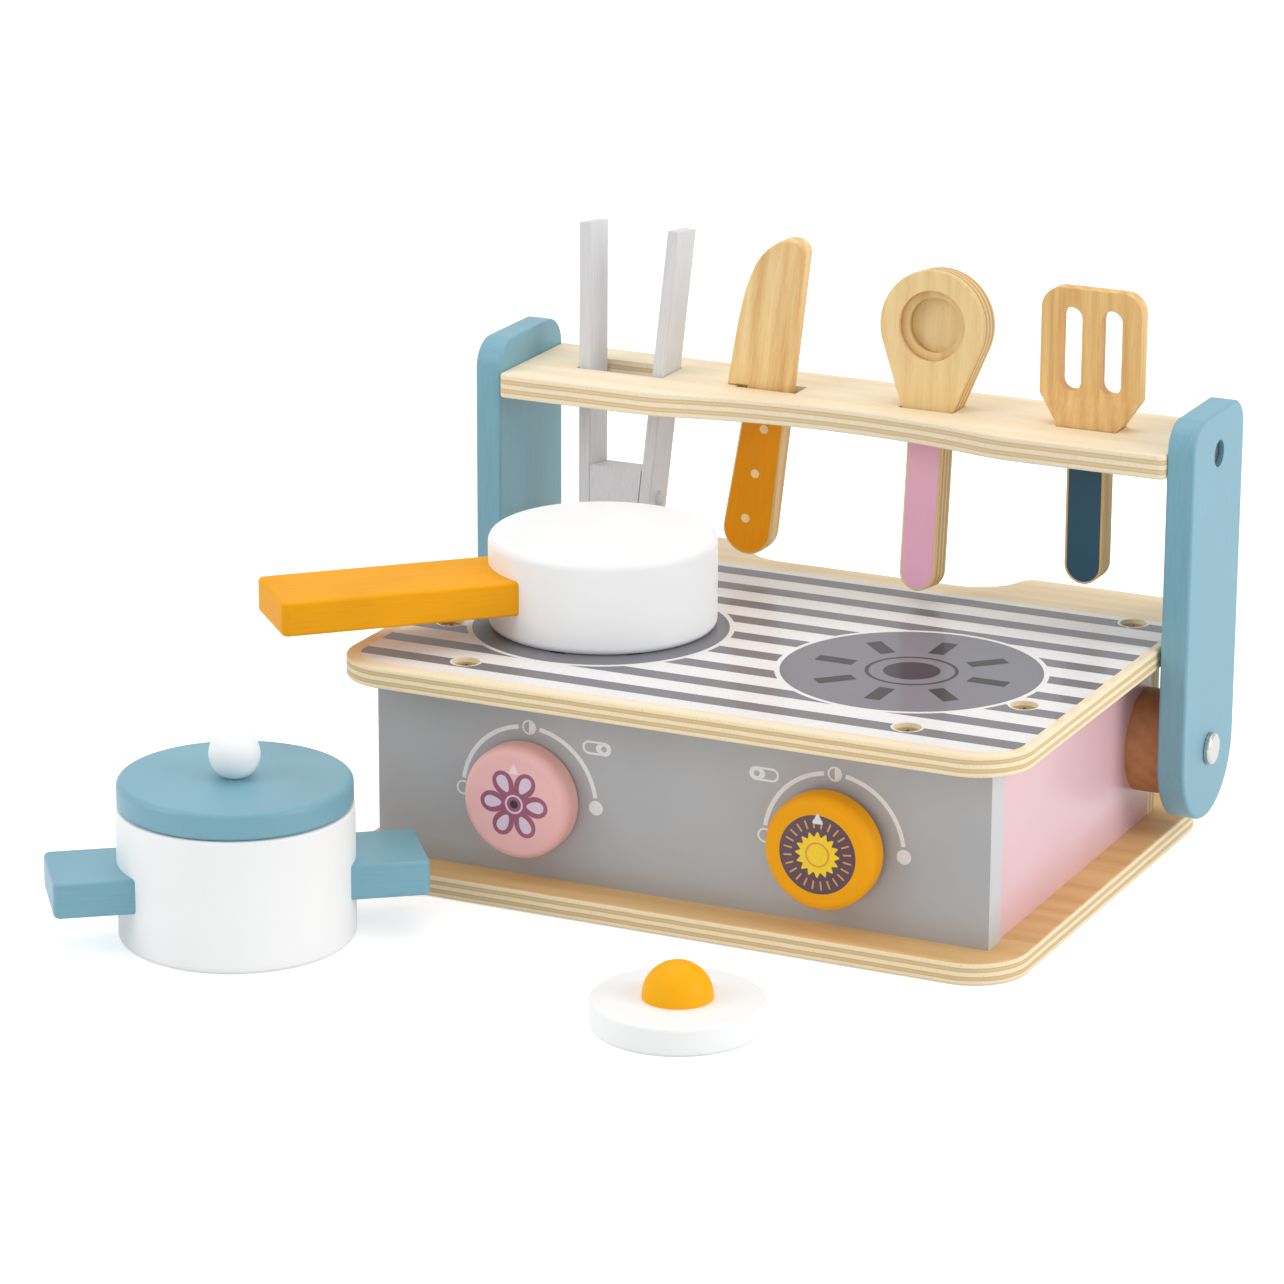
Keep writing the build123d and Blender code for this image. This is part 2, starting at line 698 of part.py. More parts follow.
export_step(tongs_block.part, "parts/tongs_block.step")

for name, leg_plane, pin_plane in pin_planes:
    with BuildPart() as tongs_leg:
        with BuildSketch(leg_plane):
            with Locations((0, -tongs_block_height / cos(radians(tongs_splay)))):
                Rectangle(tongs_leg_thickness, tongs_leg_length, align=(Align.MIN, Align.MIN))
        extrude(amount=tongs_leg_depth / 2, both=True)
        fillet(tongs_leg.edges().filter_by(Axis(leg_plane.origin, leg_plane.y_dir)), utensil_edge_round)
        with BuildSketch(pin_plane):
            Circle(tongs_pin_radius + screw_fit)
        extrude(amount=-tongs_leg_thickness, mode=Mode.SUBTRACT)
    tongs_leg.part.label = f"tongs_{name}_leg"
    export_step(tongs_leg.part, f"parts/tongs_{name}_leg.step")

    with BuildPart() as tongs_pin:
        with BuildSketch(pin_plane):
            Circle(tongs_pin_head_radius)
        extrude(amount=tongs_pin_head_height)
        head_top = tongs_pin.faces().sort_by(Axis(pin_plane.origin, pin_plane.z_dir))[-1]
        fillet(head_top.edges(), tongs_pin_head_height - tongs_pin_head_rim)
        with BuildSketch(pin_plane):
            Circle(tongs_pin_radius)
        extrude(amount=-(tongs_leg_thickness + tongs_pin_depth))
    tongs_pin.part.label = f"tongs_{name}_pin"
    export_step(tongs_pin.part, f"parts/tongs_{name}_pin.step")

# Knife: its heel rests on the shelf beside the slot
knife_plane = Plane((knife_x, knife_y, shelf_middle), x_dir=(cos(tilt), 0, -sin(tilt)), z_dir=(0, -1, 0))


def knife_seat(across):
    """Point of the knife's level heel line, a seat's gap above the shelf."""
    return (across, (half_shelf + seat_gap + across * sin(tilt)) / cos(tilt))


with BuildPart() as knife:
    end_centre = (knife_neck_half_width - knife_end_radius, knife_end_radius - knife_handle_length)
    tip = (knife_neck_half_width - knife_tip_radius, knife_blade_reach)
    edge_points = [(across, knife_blade_reach - drop) for across, drop in knife_edge_points]
    with BuildSketch(knife_plane):
        with BuildLine():
            heel = knife_seat(-knife_heel_half_width)
            Spline(heel, *edge_points, tip, tangents=[knife_heel_direction, (1, 0)])
            spine = (knife_neck_half_width, knife_blade_reach - knife_tip_radius)
            TangentArc(tip, spine, tangent=(1, 0))
            Line(spine, (knife_neck_half_width, end_centre[1]))
            ThreePointArc(
                (knife_neck_half_width, end_centre[1]),
                (end_centre[0], -knife_handle_length),
                (end_centre[0] - knife_end_radius, end_centre[1]),
            )
            Polyline(
                (end_centre[0] - knife_end_radius, end_centre[1]),
                knife_seat(-knife_neck_half_width),
                heel,
            )
        make_face()
    extrude(amount=knife_thickness / 2, both=True)
    fillet(knife.faces().filter_by(Axis.Y).edges(), utensil_edge_round)
knife.part.label = "knife"
export_step(knife.part, "parts/knife.step")

# Spoon: a laminated disc with a stepped bowl, on a neck that narrows to the handle
spoon_plane = leaning_plane(spoon_x, spoon_y, spoon_lean)
neck = (spoon_neck_width / 2, half_shelf)
neck_distance = hypot(neck[0], spoon_head_height - neck[1])
tangent_angle = acos(spoon_head_radius / neck_distance) - atan2(spoon_head_height - neck[1], neck[0])
cheek = (spoon_head_radius * cos(tangent_angle), spoon_head_height + spoon_head_radius * sin(tangent_angle))
with BuildPart() as spoon:
    half_handle = spoon_handle_width / 2
    crown = (0, spoon_head_height + spoon_head_radius)
    handle_end = (half_handle, half_handle - spoon_handle_length)
    with BuildSketch(spoon_plane):
        with BuildLine():
            ThreePointArc(crown, (spoon_head_radius, spoon_head_height), cheek)
            Polyline(cheek, neck, (half_handle, -half_shelf), handle_end)
            TangentArc(handle_end, (0, -spoon_handle_length), tangent=(0, -1))
            mirror(about=Plane.YZ)
        make_face()
    extrude(amount=spoon_thickness / 2, both=True)
    front = Axis(spoon_plane.origin, spoon_plane.z_dir)
    fillet(spoon.faces().filter_by(front).edges(), utensil_edge_round)
    bowl_steps = ((spoon_rim_hole_radius, spoon_rim_hole_depth), (spoon_bowl_radius, spoon_bowl_depth))
    for radius, depth in bowl_steps:
        with BuildSketch(spoon_plane.offset(spoon_thickness / 2)):
            with Locations((0, spoon_head_height)):
                Circle(radius)
        extrude(amount=-depth, mode=Mode.SUBTRACT)
spoon.part.label = "spoon"
export_step(spoon.part, "parts/spoon.step")

# Spatula: a thin slotted head that tapers in to a thicker handle
spatula_plane = leaning_plane(spatula_x, spatula_y, 0)
with BuildPart() as spatula:
    half_head = spatula_head_width / 2
    half_handle = spatula_handle_width / 2
    head_top = half_shelf + spatula_head_height
    handle_end = (half_handle, half_handle - spatula_handle_length)
    with BuildSketch(spatula_plane) as spatula_outline:
        with BuildLine():
            Polyline(
                (0, head_top),
                (half_head, head_top),
                (half_head, half_shelf + spatula_taper_height),
                (spatula_foot_width / 2, half_shelf),
                (half_handle, -half_shelf),
                handle_end,
            )
            TangentArc(handle_end, (0, -spatula_handle_length), tangent=(0, -1))
            mirror(about=Plane.YZ)
        make_face()
        fillet(spatula_outline.vertices().group_by(Axis.Y)[-1], spatula_corner_radius)
    extrude(amount=spatula_handle_thickness / 2, both=True)
    with BuildSketch(Plane.YZ.offset(spatula_x)):
        with Locations((spatula_y, shelf_middle)):
            Polygon(
                (-spatula_handle_thickness / 2, -spatula_handle_length),
                (spatula_handle_thickness / 2, -spatula_handle_length),
                (spatula_handle_thickness / 2, half_shelf),
                (spatula_head_thickness / 2, half_shelf + spatula_taper_height),
                (spatula_head_thickness / 2, head_top),
                (-spatula_head_thickness / 2, head_top),
                (-spatula_head_thickness / 2, half_shelf + spatula_taper_height),
                (-spatula_handle_thickness / 2, half_shelf),
                align=None,
            )
    extrude(amount=half_head, both=True, mode=Mode.INTERSECT)
    slot_middle = head_top - spatula_slot_setback - spatula_slot_length / 2
    with BuildSketch(spatula_plane):
        with Locations([(side * spatula_slot_spacing / 2, slot_middle) for name, side in sides]):
            SlotOverall(spatula_slot_length, spatula_slot_width, rotation=90)
    extrude(amount=spatula_handle_thickness, both=True, mode=Mode.SUBTRACT)
spatula.part.label = "spatula"
export_step(spatula.part, "parts/spatula.step")
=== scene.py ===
"""Toy camping stove of wood: finishes, printed faces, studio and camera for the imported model.

All sizes are in millimetres in the model's own frame: the origin is the middle of the base plate's
underside, X runs to the right, Y to the back and Z up.
"""

import logging
from dataclasses import dataclass
from enum import Enum
from functools import cached_property
from math import atan2, cos, degrees, pi, radians, sin, tan

import bmesh
import bpy
from mathutils import Matrix, Vector


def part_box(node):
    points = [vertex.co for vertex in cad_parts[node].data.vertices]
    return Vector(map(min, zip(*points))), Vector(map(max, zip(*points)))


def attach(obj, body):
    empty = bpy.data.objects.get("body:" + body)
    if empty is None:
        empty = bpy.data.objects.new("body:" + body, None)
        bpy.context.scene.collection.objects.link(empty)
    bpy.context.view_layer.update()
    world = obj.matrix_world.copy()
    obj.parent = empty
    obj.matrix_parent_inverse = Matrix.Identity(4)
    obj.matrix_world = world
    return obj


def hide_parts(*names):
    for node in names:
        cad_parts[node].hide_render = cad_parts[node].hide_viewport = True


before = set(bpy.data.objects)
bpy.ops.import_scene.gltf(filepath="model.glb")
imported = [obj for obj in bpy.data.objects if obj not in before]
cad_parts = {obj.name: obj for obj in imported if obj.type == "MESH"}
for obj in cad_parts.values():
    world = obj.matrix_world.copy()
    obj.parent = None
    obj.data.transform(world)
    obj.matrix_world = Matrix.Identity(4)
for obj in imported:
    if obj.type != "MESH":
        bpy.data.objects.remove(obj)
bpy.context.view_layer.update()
LOG = logging.getLogger("toy_stove")

Point = tuple[float, float]
Loop = list[Point]

# One millimetre in metres, and the height of each printed layer above the last in millimetres.
MM = 0.001
PRINT_STEP = 0.03

# Scale at which the wave texture's bands are one unit wide.
WAVE_UNIT = 0.314

# Range that holds most of a noise's values.
NOISE_CORE = (0.3, 0.7)
FULL = (0.0, 1.0)

# Roughness of every noise, and detail of the rings' wandering edges.
NOISE_ROUGHNESS = 0.6
RING_DETAIL, RING_DETAIL_SCALE = 2.0, 0.35

# Cosines between which a surface turns from edge to face.
FACING_SPAN = (0.55, 0.8)

# How far fibres vary the roughness, down and up.
ROUGHNESS_SPREAD = (-0.05, 0.07)

# Parts that fibres, rings, streaks and clouds have in the figure of wood.
FIBRE_SHARE, RING_SHARE, STREAK_SHARE, CLOUD_SHARE = 0.26, 0.1, 0.4, 0.34

# Distances in millimetres below which two places count as one, and two corners are joined.
CLOSE = 1e-6
WELD = 1e-4


# Colours, grain and gloss


@dataclass(frozen=True)
class Colour:
    """Colour written as screen values from 0 to 255."""

    red: int
    green: int
    blue: int

    @property
    def linear(self) -> tuple[float, float, float, float]:
        """Linear colour with full opacity, as shader sockets take it.

        Returns:
            Red, green, blue and opacity.
        """
        channels = []
        for value in (self.red, self.green, self.blue):
            share = value / 255
            channels.append(share / 12.92 if share <= 0.04045 else ((share + 0.055) / 1.055) ** 2.4)
        return (*channels, 1.0)

    def toned(self, factor: float) -> "Colour":
        """Same hue, lighter or darker.

        Args:
            factor: what each value is multiplied by.

        Returns:
            The toned colour.
        """
        toned = (round(value * factor) for value in (self.red, self.green, self.blue))
        return Colour(*(max(0, min(255, value)) for value in toned))

    def towards(self, other: "Colour", share: float) -> "Colour":
        """Colour part of the way to another.

        Args:
            other: colour at the end of the way.
            share: share of the way.

        Returns:
            The colour between.
        """
        pairs = ((self.red, other.red), (self.green, other.green), (self.blue, other.blue))
        return Colour(*(round(first + (second - first) * share) for first, second in pairs))


class GrainAxis(Enum):
    """Axis that a piece's fibres follow before its lean is counted."""

    X = 0
    Y = 1
    Z = 2


class Gloss(Enum):
    """Surface sheen: roughness, coat weight, coat roughness and specular level."""

    RAW = (0.7, 0.0, 0.3, 0.4)
    OILED = (0.6, 0.05, 0.35, 0.45)
    MATT = (0.65, 0.12, 0.3, 0.15)
    SATIN = (0.5, 0.2, 0.28, 0.5)
    CHALK = (0.55, 0.06, 0.3, 0.5)
    SILK = (0.5, 0.1, 0.25, 0.35)
    LACQUER = (0.4, 0.25, 0.16, 0.5)
    PRINT = (0.5, 0.26, 0.13, 0.35)


@dataclass(frozen=True)
class Grain:
    """Run of the fibres through a piece.

    Args:
        axis: axis that the fibres follow.
        lean: turn in degrees about X, Y and Z that stands a leaning piece upright.
        width: width of a growth ring in millimetres.
        stretch: how many times longer than wide the figure is.
    """

    axis: GrainAxis
    lean: tuple[float, float, float] = (0.0, 0.0, 0.0)
    width: float = 3.6
    stretch: float = 22.0


# Shader graphs


class Graph:
    """One material's node tree, with short ways to add and join nodes."""

    def __init__(self, name: str) -> None:
        """Start a material with its surface shader.

        Args:
            name: name of the material.
        """
        self.material = bpy.data.materials.new(name)
        self.material.use_nodes = True
        self.tree = self.material.node_tree
        self.shader = next(node for node in self.tree.nodes if node.type == "BSDF_PRINCIPLED")

    def add(self, kind: str, inputs: dict | None = None, **settings: object) -> bpy.types.Node:
        """Add a node.

        Args:
            kind: Blender's name of the node type.
            inputs: values or sockets by the input's name or number.
            settings: attributes of the node.

        Returns:
            The new node.
        """
        node = self.tree.nodes.new(kind)
        for name, value in settings.items():
            setattr(node, name, value)
        for key, value in (inputs or {}).items():
            if isinstance(value, bpy.types.NodeSocket):
                self.tree.links.new(value, node.inputs[key])
            else:
                node.inputs[key].default_value = value
        return node

    def math(self, operation: str, *values: object) -> bpy.types.NodeSocket:
        """Result of one sum on sockets and numbers.

        Args:
            operation: Blender's name of the sum.
            values: sockets and numbers in the sum's order.

        Returns:
            The result's socket.
        """
        return self.add("ShaderNodeMath", dict(enumerate(values)), operation=operation).outputs[0]

    def shares(self, *parts: tuple[bpy.types.NodeSocket, float]) -> bpy.types.NodeSocket:
        """Sum of sockets, each times its share.

        Args:
            parts: each socket with its share.

        Returns:
            The sum's socket.
        """
        total = self.math("MULTIPLY", *parts[0])
        for socket, share in parts[1:]:
            total = self.math("MULTIPLY_ADD", socket, share, total)
        return total

    def blend(self, factor: object, first: object, second: object) -> bpy.types.NodeSocket:
        """Colour between two colours.

        Args:
            factor: share of the second colour.
            first: socket or value of the first colour.
            second: socket or value of the second colour.

        Returns:
            The colour's socket.
        """
        return self.add("ShaderNodeMix", {0: factor, 6: first, 7: second}, data_type="RGBA").outputs[2]

    def ramp(self, factor: bpy.types.NodeSocket, stops: list[tuple[float, Colour]]) -> bpy.types.NodeSocket:
        """Colour ramp over a factor.

        Args:
            factor: socket with a value from 0 to 1.
            stops: places and colours in rising order.

        Returns:
            The ramp's colour socket.
        """
        node = self.add("ShaderNodeValToRGB", {0: factor})
        while len(node.color_ramp.elements) < len(stops):
            node.color_ramp.elements.new(0.5)
        for element, (place, colour) in zip(node.color_ramp.elements, stops):
            element.position = place
            element.color = colour.linear
        return node.outputs[0]

    def fit(
        self, value: bpy.types.NodeSocket, old: Point, new: Point = FULL, smooth: bool = False
    ) -> bpy.types.NodeSocket:
        """Value moved from one range to another, held at the ends.

        Args:
            value: socket to move.
            old: range that it comes from.
            new: range that it goes to.
            smooth: whether it eases into the ends.

        Returns:
            The moved value's socket.
        """
        kind = "SMOOTHSTEP" if smooth else "LINEAR"
        numbers = {0: value, 1: old[0], 2: old[1], 3: new[0], 4: new[1]}
        return self.add("ShaderNodeMapRange", numbers, interpolation_type=kind).outputs[0]

    def position(self) -> bpy.types.NodeSocket:
        """Place on the piece at rest, in millimetres."""
        coordinates = self.add("ShaderNodeTexCoord").outputs["Object"]
        return self.add("ShaderNodeMapping", {"Vector": coordinates, "Scale": (1 / MM,) * 3}).outputs[0]

    def along_grain(self, grain: Grain) -> bpy.types.NodeSocket:
        """Place on the piece, squeezed along the fibres so that figure runs with them.

        Args:
            grain: run of the fibres.

        Returns:
            The place's socket.
        """
        lean = tuple(radians(angle) for angle in grain.lean)
        upright = self.add("ShaderNodeMapping", {"Vector": self.position(), "Rotation": lean}).outputs[0]
        squeeze = [1.0, 1.0, 1.0]
        squeeze[grain.axis.value] = 1 / grain.stretch
        return self.add("ShaderNodeMapping", {"Vector": upright, "Scale": tuple(squeeze)}).outputs[0]

    def noise(self, vector: bpy.types.NodeSocket, size: float, detail: float = 2.0) -> bpy.types.NodeSocket:
        """Cloudy noise.

        Args:
            vector: place on the piece.
            size: size of its features in millimetres.
            detail: number of finer layers.

        Returns:
            The noise's socket, from 0 to 1.
        """
        numbers = {"Vector": vector, "Scale": 1 / size, "Detail": detail, "Roughness": NOISE_ROUGHNESS}
        return self.add("ShaderNodeTexNoise", numbers).outputs[0]

    def rings(self, vector: bpy.types.NodeSocket, width: float, wander: float) -> bpy.types.NodeSocket:
        """Growth rings with wandering edges.

        Args:
            vector: place on the piece.
            width: width of a ring in millimetres.
            wander: how far the edges stray.

        Returns:
            The rings' socket, from 0 to 1.
        """
        numbers = {"Vector": vector, "Scale": WAVE_UNIT / width, "Distortion": wander}
        numbers |= {"Detail": RING_DETAIL, "Detail Scale": RING_DETAIL_SCALE}
        waves = self.add("ShaderNodeTexWave", numbers, wave_type="BANDS", bands_direction="DIAGONAL")
        return waves.outputs["Fac"]

    def facing(self, axis: Vector) -> bpy.types.NodeSocket:
        """How squarely the surface faces an axis.

        Args:
            axis: direction to compare with.

        Returns:
            The socket: 1 on the faces across the axis and 0 on the edges along it.
        """
        normal = self.add("ShaderNodeTexCoord").outputs["Normal"]
        share = self.add("ShaderNodeVectorMath", {0: normal, 1: tuple(axis)}, operation="DOT_PRODUCT")
        return self.fit(self.math("ABSOLUTE", share.outputs["Value"]), FACING_SPAN, smooth=True)

    def bump(self, height: bpy.types.NodeSocket, depth: float, strength: float = 0.6) -> None:
        """Relief that only the surface's light shows.

        Args:
            height: socket with the height.
            depth: depth of the relief in millimetres.
            strength: share of the relief that shows.
        """
        node = self.add("ShaderNodeBump", {"Height": height, "Distance": depth * MM, "Strength": strength})
        self.tree.links.new(node.outputs[0], self.shader.inputs["Normal"])

    def surface(
        self, gloss: Gloss, colour: bpy.types.NodeSocket, rough: bpy.types.NodeSocket | None = None
    ) -> None:
        """Set the shader's colour and sheen.

        Args:
            gloss: sheen of the surface.
            colour: socket with the colour.
            rough: socket from 0 to 1 that varies the roughness a little.
        """
        roughness, coat, coat_roughness, specular = gloss.value
        self.tree.links.new(colour, self.shader.inputs["Base Color"])
        if rough is None:
            self.shader.inputs["Roughness"].default_value = roughness
        else:
            low, high = (roughness + spread for spread in ROUGHNESS_SPREAD)
            varied = self.fit(rough, NOISE_CORE, (low, high))
            self.tree.links.new(varied, self.shader.inputs["Roughness"])
        self.shader.inputs["Specular IOR Level"].default_value = specular
        self.shader.inputs["Coat Weight"].default_value = coat
        self.shader.inputs["Coat Roughness"].default_value = coat_roughness


# Finishes


@dataclass(frozen=True)
class Finish:
    """Base of the finishes: a named material made once.

    Args:
        name: name of the material.
        slot: material slot of the record that the finish belongs to; not used.
    """

    name: str
    slot: str

    @cached_property
    def material(self) -> bpy.types.Material:
        """Material of this finish, made at its first use."""
        graph = Graph(self.name)
        self.fill(graph)
        return graph.material

    def fill(self, graph: Graph) -> None:
        """Lay out the finish's nodes, which each finish does its own way.

        Args:
            graph: the material's graph.
        """
        raise NotImplementedError


@dataclass(frozen=True)
class Wood(Finish):
    """Bare or stained solid wood with growth rings and fibres.

    Args:
        light: colour of the early wood.
        dark: colour of the late wood.
        grain: run of the fibres.
        gloss: sheen.
        contrast: share of the dark colour that the figure reaches.
        wander: how far the rings' edges stray.
        fibre_size: width of a fibre in millimetres.
        pore_size: width of a pore in millimetres.
        relief: depth of the fibres in millimetres.
        streak_width: width of a streak, in growth rings.
        cloud_width: width of a cloud, in growth rings.
        figure_span: range of the figure over which the colour goes from light to dark.
        middle_share: how far the colour halfway lies from light to dark.
        pore_span: range of the noise over which pores come in.
        pore_share: share of the pores' colour at their middle.
        pore_tone: tone of the pores against the dark colour.
    """

    light: Colour = Colour(236, 204, 150)
    dark: Colour = Colour(206, 160, 100)
    grain: Grain = Grain(GrainAxis.Z)
    gloss: Gloss = Gloss.OILED
    contrast: float = 1.0
    wander: float = 9.0
    fibre_size: float = 0.5
    pore_size: float = 0.3
    relief: float = 0.05
    streak_width: float = 0.8
    cloud_width: float = 3.2
    figure_span: Point = (0.4, 0.72)
    middle_share: float = 0.4
    pore_span: Point = (0.66, 0.74)
    pore_share: float = 0.35
    pore_tone: float = 0.82

    def figure(self, graph: Graph) -> tuple[bpy.types.NodeSocket, bpy.types.NodeSocket]:
        """Colour of the figured wood and height of its fibres.

        Args:
            graph: the material's graph.

        Returns:
            The colour socket and the fibres' socket.
        """
        vector, width = graph.along_grain(self.grain), self.grain.width
        rings = graph.rings(vector, width, self.wander)
        fibres = graph.noise(vector, self.fibre_size, 4.0)
        streaks = graph.noise(vector, width * self.streak_width, 3.0)
        clouds = graph.noise(vector, width * self.cloud_width, 1.0)
        mixed = graph.shares(
            (fibres, FIBRE_SHARE), (rings, RING_SHARE), (streaks, STREAK_SHARE), (clouds, CLOUD_SHARE)
        )
        amount = graph.fit(mixed, self.figure_span, (0.0, self.contrast))
        middle = self.light.towards(self.dark, self.middle_share)
        colour = graph.ramp(amount, [(0.0, self.light), (0.5, middle), (1.0, self.dark)])
        pores = graph.fit(graph.noise(vector, self.pore_size, 2.0), self.pore_span, (0.0, self.pore_share))
        return graph.blend(pores, colour, self.dark.toned(self.pore_tone).linear), fibres

    def fill(self, graph: Graph) -> None:
        """Lay out the wood's figure, sheen and relief.

        Args:
            graph: the material's graph.
        """
        colour, fibres = self.figure(graph)
        graph.surface(self.gloss, colour, fibres)
        graph.bump(fibres, self.relief)


@dataclass(frozen=True)
class Plywood(Wood):
    """Glued layers of veneer: figured faces, and plies that show as bands on the edges.

    Args:
        axis: direction across the layers.
        level: distance from the origin to the first face along the axis, in millimetres.
        thickness: thickness of the sheet.
        plies: number of veneers.
        edge_light: colour of the plies cut along their fibres.
        edge_dark: colour of the plies cut across their fibres.
        cross_share: thickness of a ply cut across its fibres, as a share of one cut along them.
        glue_share: share of a ply on either side over which its colour goes over into the glue line.
        glue_tone: tone of the glue lines against the dark edge.
        ripple_size: length of the plies' waves in millimetres.
        ripple: height of those waves, as a share of the sheet.
        fleck_size: size of the flecks on the edge in millimetres.
        fleck_span: range of the noise over which flecks come in.
        fleck_share: share of the flecks' colour at their middle.
        fleck_tone: tone of the flecks against the dark edge.
    """

    axis: tuple[float, float, float] = (0.0, 0.0, 1.0)
    level: float = 0.0
    thickness: float = 9.0
    plies: int = 5
    edge_light: Colour = Colour(250, 234, 200)
    edge_dark: Colour = Colour(226, 196, 142)
    cross_share: float = 0.62
    glue_share: float = 0.16
    glue_tone: float = 0.88
    ripple_size: float = 16.0
    ripple: float = 0.05
    fleck_size: float = 0.8
    fleck_span: Point = (0.52, 0.74)
    fleck_share: float = 0.35
    fleck_tone: float = 0.92

    @property
    def stops(self) -> list[tuple[float, Colour]]:
        """Places and colours of the plies and glue lines through the sheet.

        Returns:
            Stops of a ramp, from the first face to the last.
        """
        whole = 1 + (self.plies - 1) / 2 * (1 + self.cross_share)
        glue = self.edge_dark.toned(self.glue_tone)
        stops: list[tuple[float, Colour]] = []
        low = 0.0
        for ply in range(self.plies):
            along = ply % 2 == 0
            high = low + (1.0 if along else self.cross_share) / whole
            margin = (high - low) * self.glue_share
            colour = self.edge_light if along else self.edge_dark
            stops += [(low + margin, colour), (high - margin, colour), (high, glue)]
            low = high
        return stops[:-1]

    def bands(self, graph: Graph) -> bpy.types.NodeSocket:
        """Colour of the cut plies by their height in the sheet.

        Args:
            graph: the material's graph.

        Returns:
            The colour socket.
        """
        place = graph.position()
        height = graph.add("ShaderNodeVectorMath", {0: place, 1: self.axis}, operation="DOT_PRODUCT")
        share = graph.fit(height.outputs["Value"], (self.level, self.level + self.thickness))
        waves = graph.noise(place, self.ripple_size, 2.0)
        ripple = graph.math("MULTIPLY_ADD", waves, self.ripple, -self.ripple / 2)
        banded = graph.ramp(graph.math("ADD", share, ripple), self.stops)
        flecks = graph.fit(graph.noise(place, self.fleck_size, 3.0), self.fleck_span, (0.0, self.fleck_share))
        return graph.blend(flecks, banded, self.edge_dark.toned(self.fleck_tone).linear)

    def fill(self, graph: Graph) -> None:
        """Lay out faces and banded edges.

        Args:
            graph: the material's graph.
        """
        colour, fibres = self.figure(graph)
        both = graph.blend(graph.facing(Vector(self.axis)), self.bands(graph), colour)
        graph.surface(self.gloss, both, fibres)
        graph.bump(fibres, self.relief)


@dataclass(frozen=True)
class Paint(Finish):
    """Paint on wood: an even colour with faint fibres, tone drift and fine brush relief.

    Args:
        colour: colour of the paint.
        grain: run of the fibres under it.
        gloss: sheen.
        streak: share of the tone that runs with the fibres; the rest drifts in clouds.
        relief: depth of the fibres in millimetres.
        shade: how far the tone goes to either side of the colour.
        ends: colour where the paint lies on end grain, if it differs.
        fibre_size: width of a fibre in millimetres.
        drift_size: size of the clouds in millimetres.
        speckle_size: size of the spray's speckle in millimetres.
        speckle_share: height of the speckle against the fibres.
        tone_span: range of the clouds over which the tone goes from dark to light.
        lift: how much less the light tone differs than the dark one.
    """

    colour: Colour = Colour(240, 240, 240)
    grain: Grain = Grain(GrainAxis.Z)
    gloss: Gloss = Gloss.SATIN
    streak: float = 0.5
    relief: float = 0.03
    shade: float = 0.04
    ends: Colour | None = None
    fibre_size: float = 0.7
    drift_size: float = 38.0
    speckle_size: float = 0.45
    speckle_share: float = 0.4
    tone_span: Point = (0.34, 0.66)
    lift: float = 0.7

    def fill(self, graph: Graph) -> None:
        """Lay out the paint's tone, sheen and relief.

        Args:
            graph: the material's graph.
        """
        fibres = graph.noise(graph.along_grain(self.grain), self.fibre_size, 4.0)
        drift = graph.noise(graph.position(), self.drift_size, 1.0)
        amount = graph.fit(graph.shares((drift, 1 - self.streak), (fibres, self.streak)), self.tone_span)
        low, high = self.colour.toned(1 - self.shade), self.colour.toned(1 + self.shade * self.lift)
        colour = graph.ramp(amount, [(0.0, low), (0.5, self.colour), (1.0, high)])
        if self.ends is not None:
            along = Vector([float(index == self.grain.axis.value) for index in range(3)])
            colour = graph.blend(graph.facing(along), colour, self.ends.linear)
        graph.surface(self.gloss, colour, fibres)
        speckle = graph.noise(graph.position(), self.speckle_size, 2.0)
        graph.bump(graph.math("MULTIPLY_ADD", speckle, self.speckle_share, fibres), self.relief)


@dataclass(frozen=True)
class Ink(Finish):
    """Printed ink under lacquer, with the slight mottle of a screen print.

    Args:
        colour: colour of the ink.
        gloss: sheen.
        mottle_size: size of the mottle in millimetres.
        wave_size: length of the lacquer's waves in millimetres.
        tones: darkest and lightest tone of the mottle.
        relief: height of the waves in millimetres.
        relief_strength: share of the relief that shows.
    """

    colour: Colour = Colour(240, 240, 240)
    gloss: Gloss = Gloss.PRINT
    mottle_size: float = 1.1
    wave_size: float = 6.0
    tones: Point = (0.975, 1.02)
    relief: float = 0.012
    relief_strength: float = 0.4

    def fill(self, graph: Graph) -> None:
        """Lay out the ink's mottle and sheen.

        Args:
            graph: the material's graph.
        """
        place = graph.position()
        mottle = graph.fit(graph.noise(place, self.mottle_size, 3.0), NOISE_CORE)
        low, high = (self.colour.toned(tone) for tone in self.tones)
        colour = graph.ramp(mottle, [(0.0, low), (1.0, high)])
        graph.surface(self.gloss, colour)
        graph.bump(graph.noise(place, self.wave_size, 1.0), self.relief, self.relief_strength)


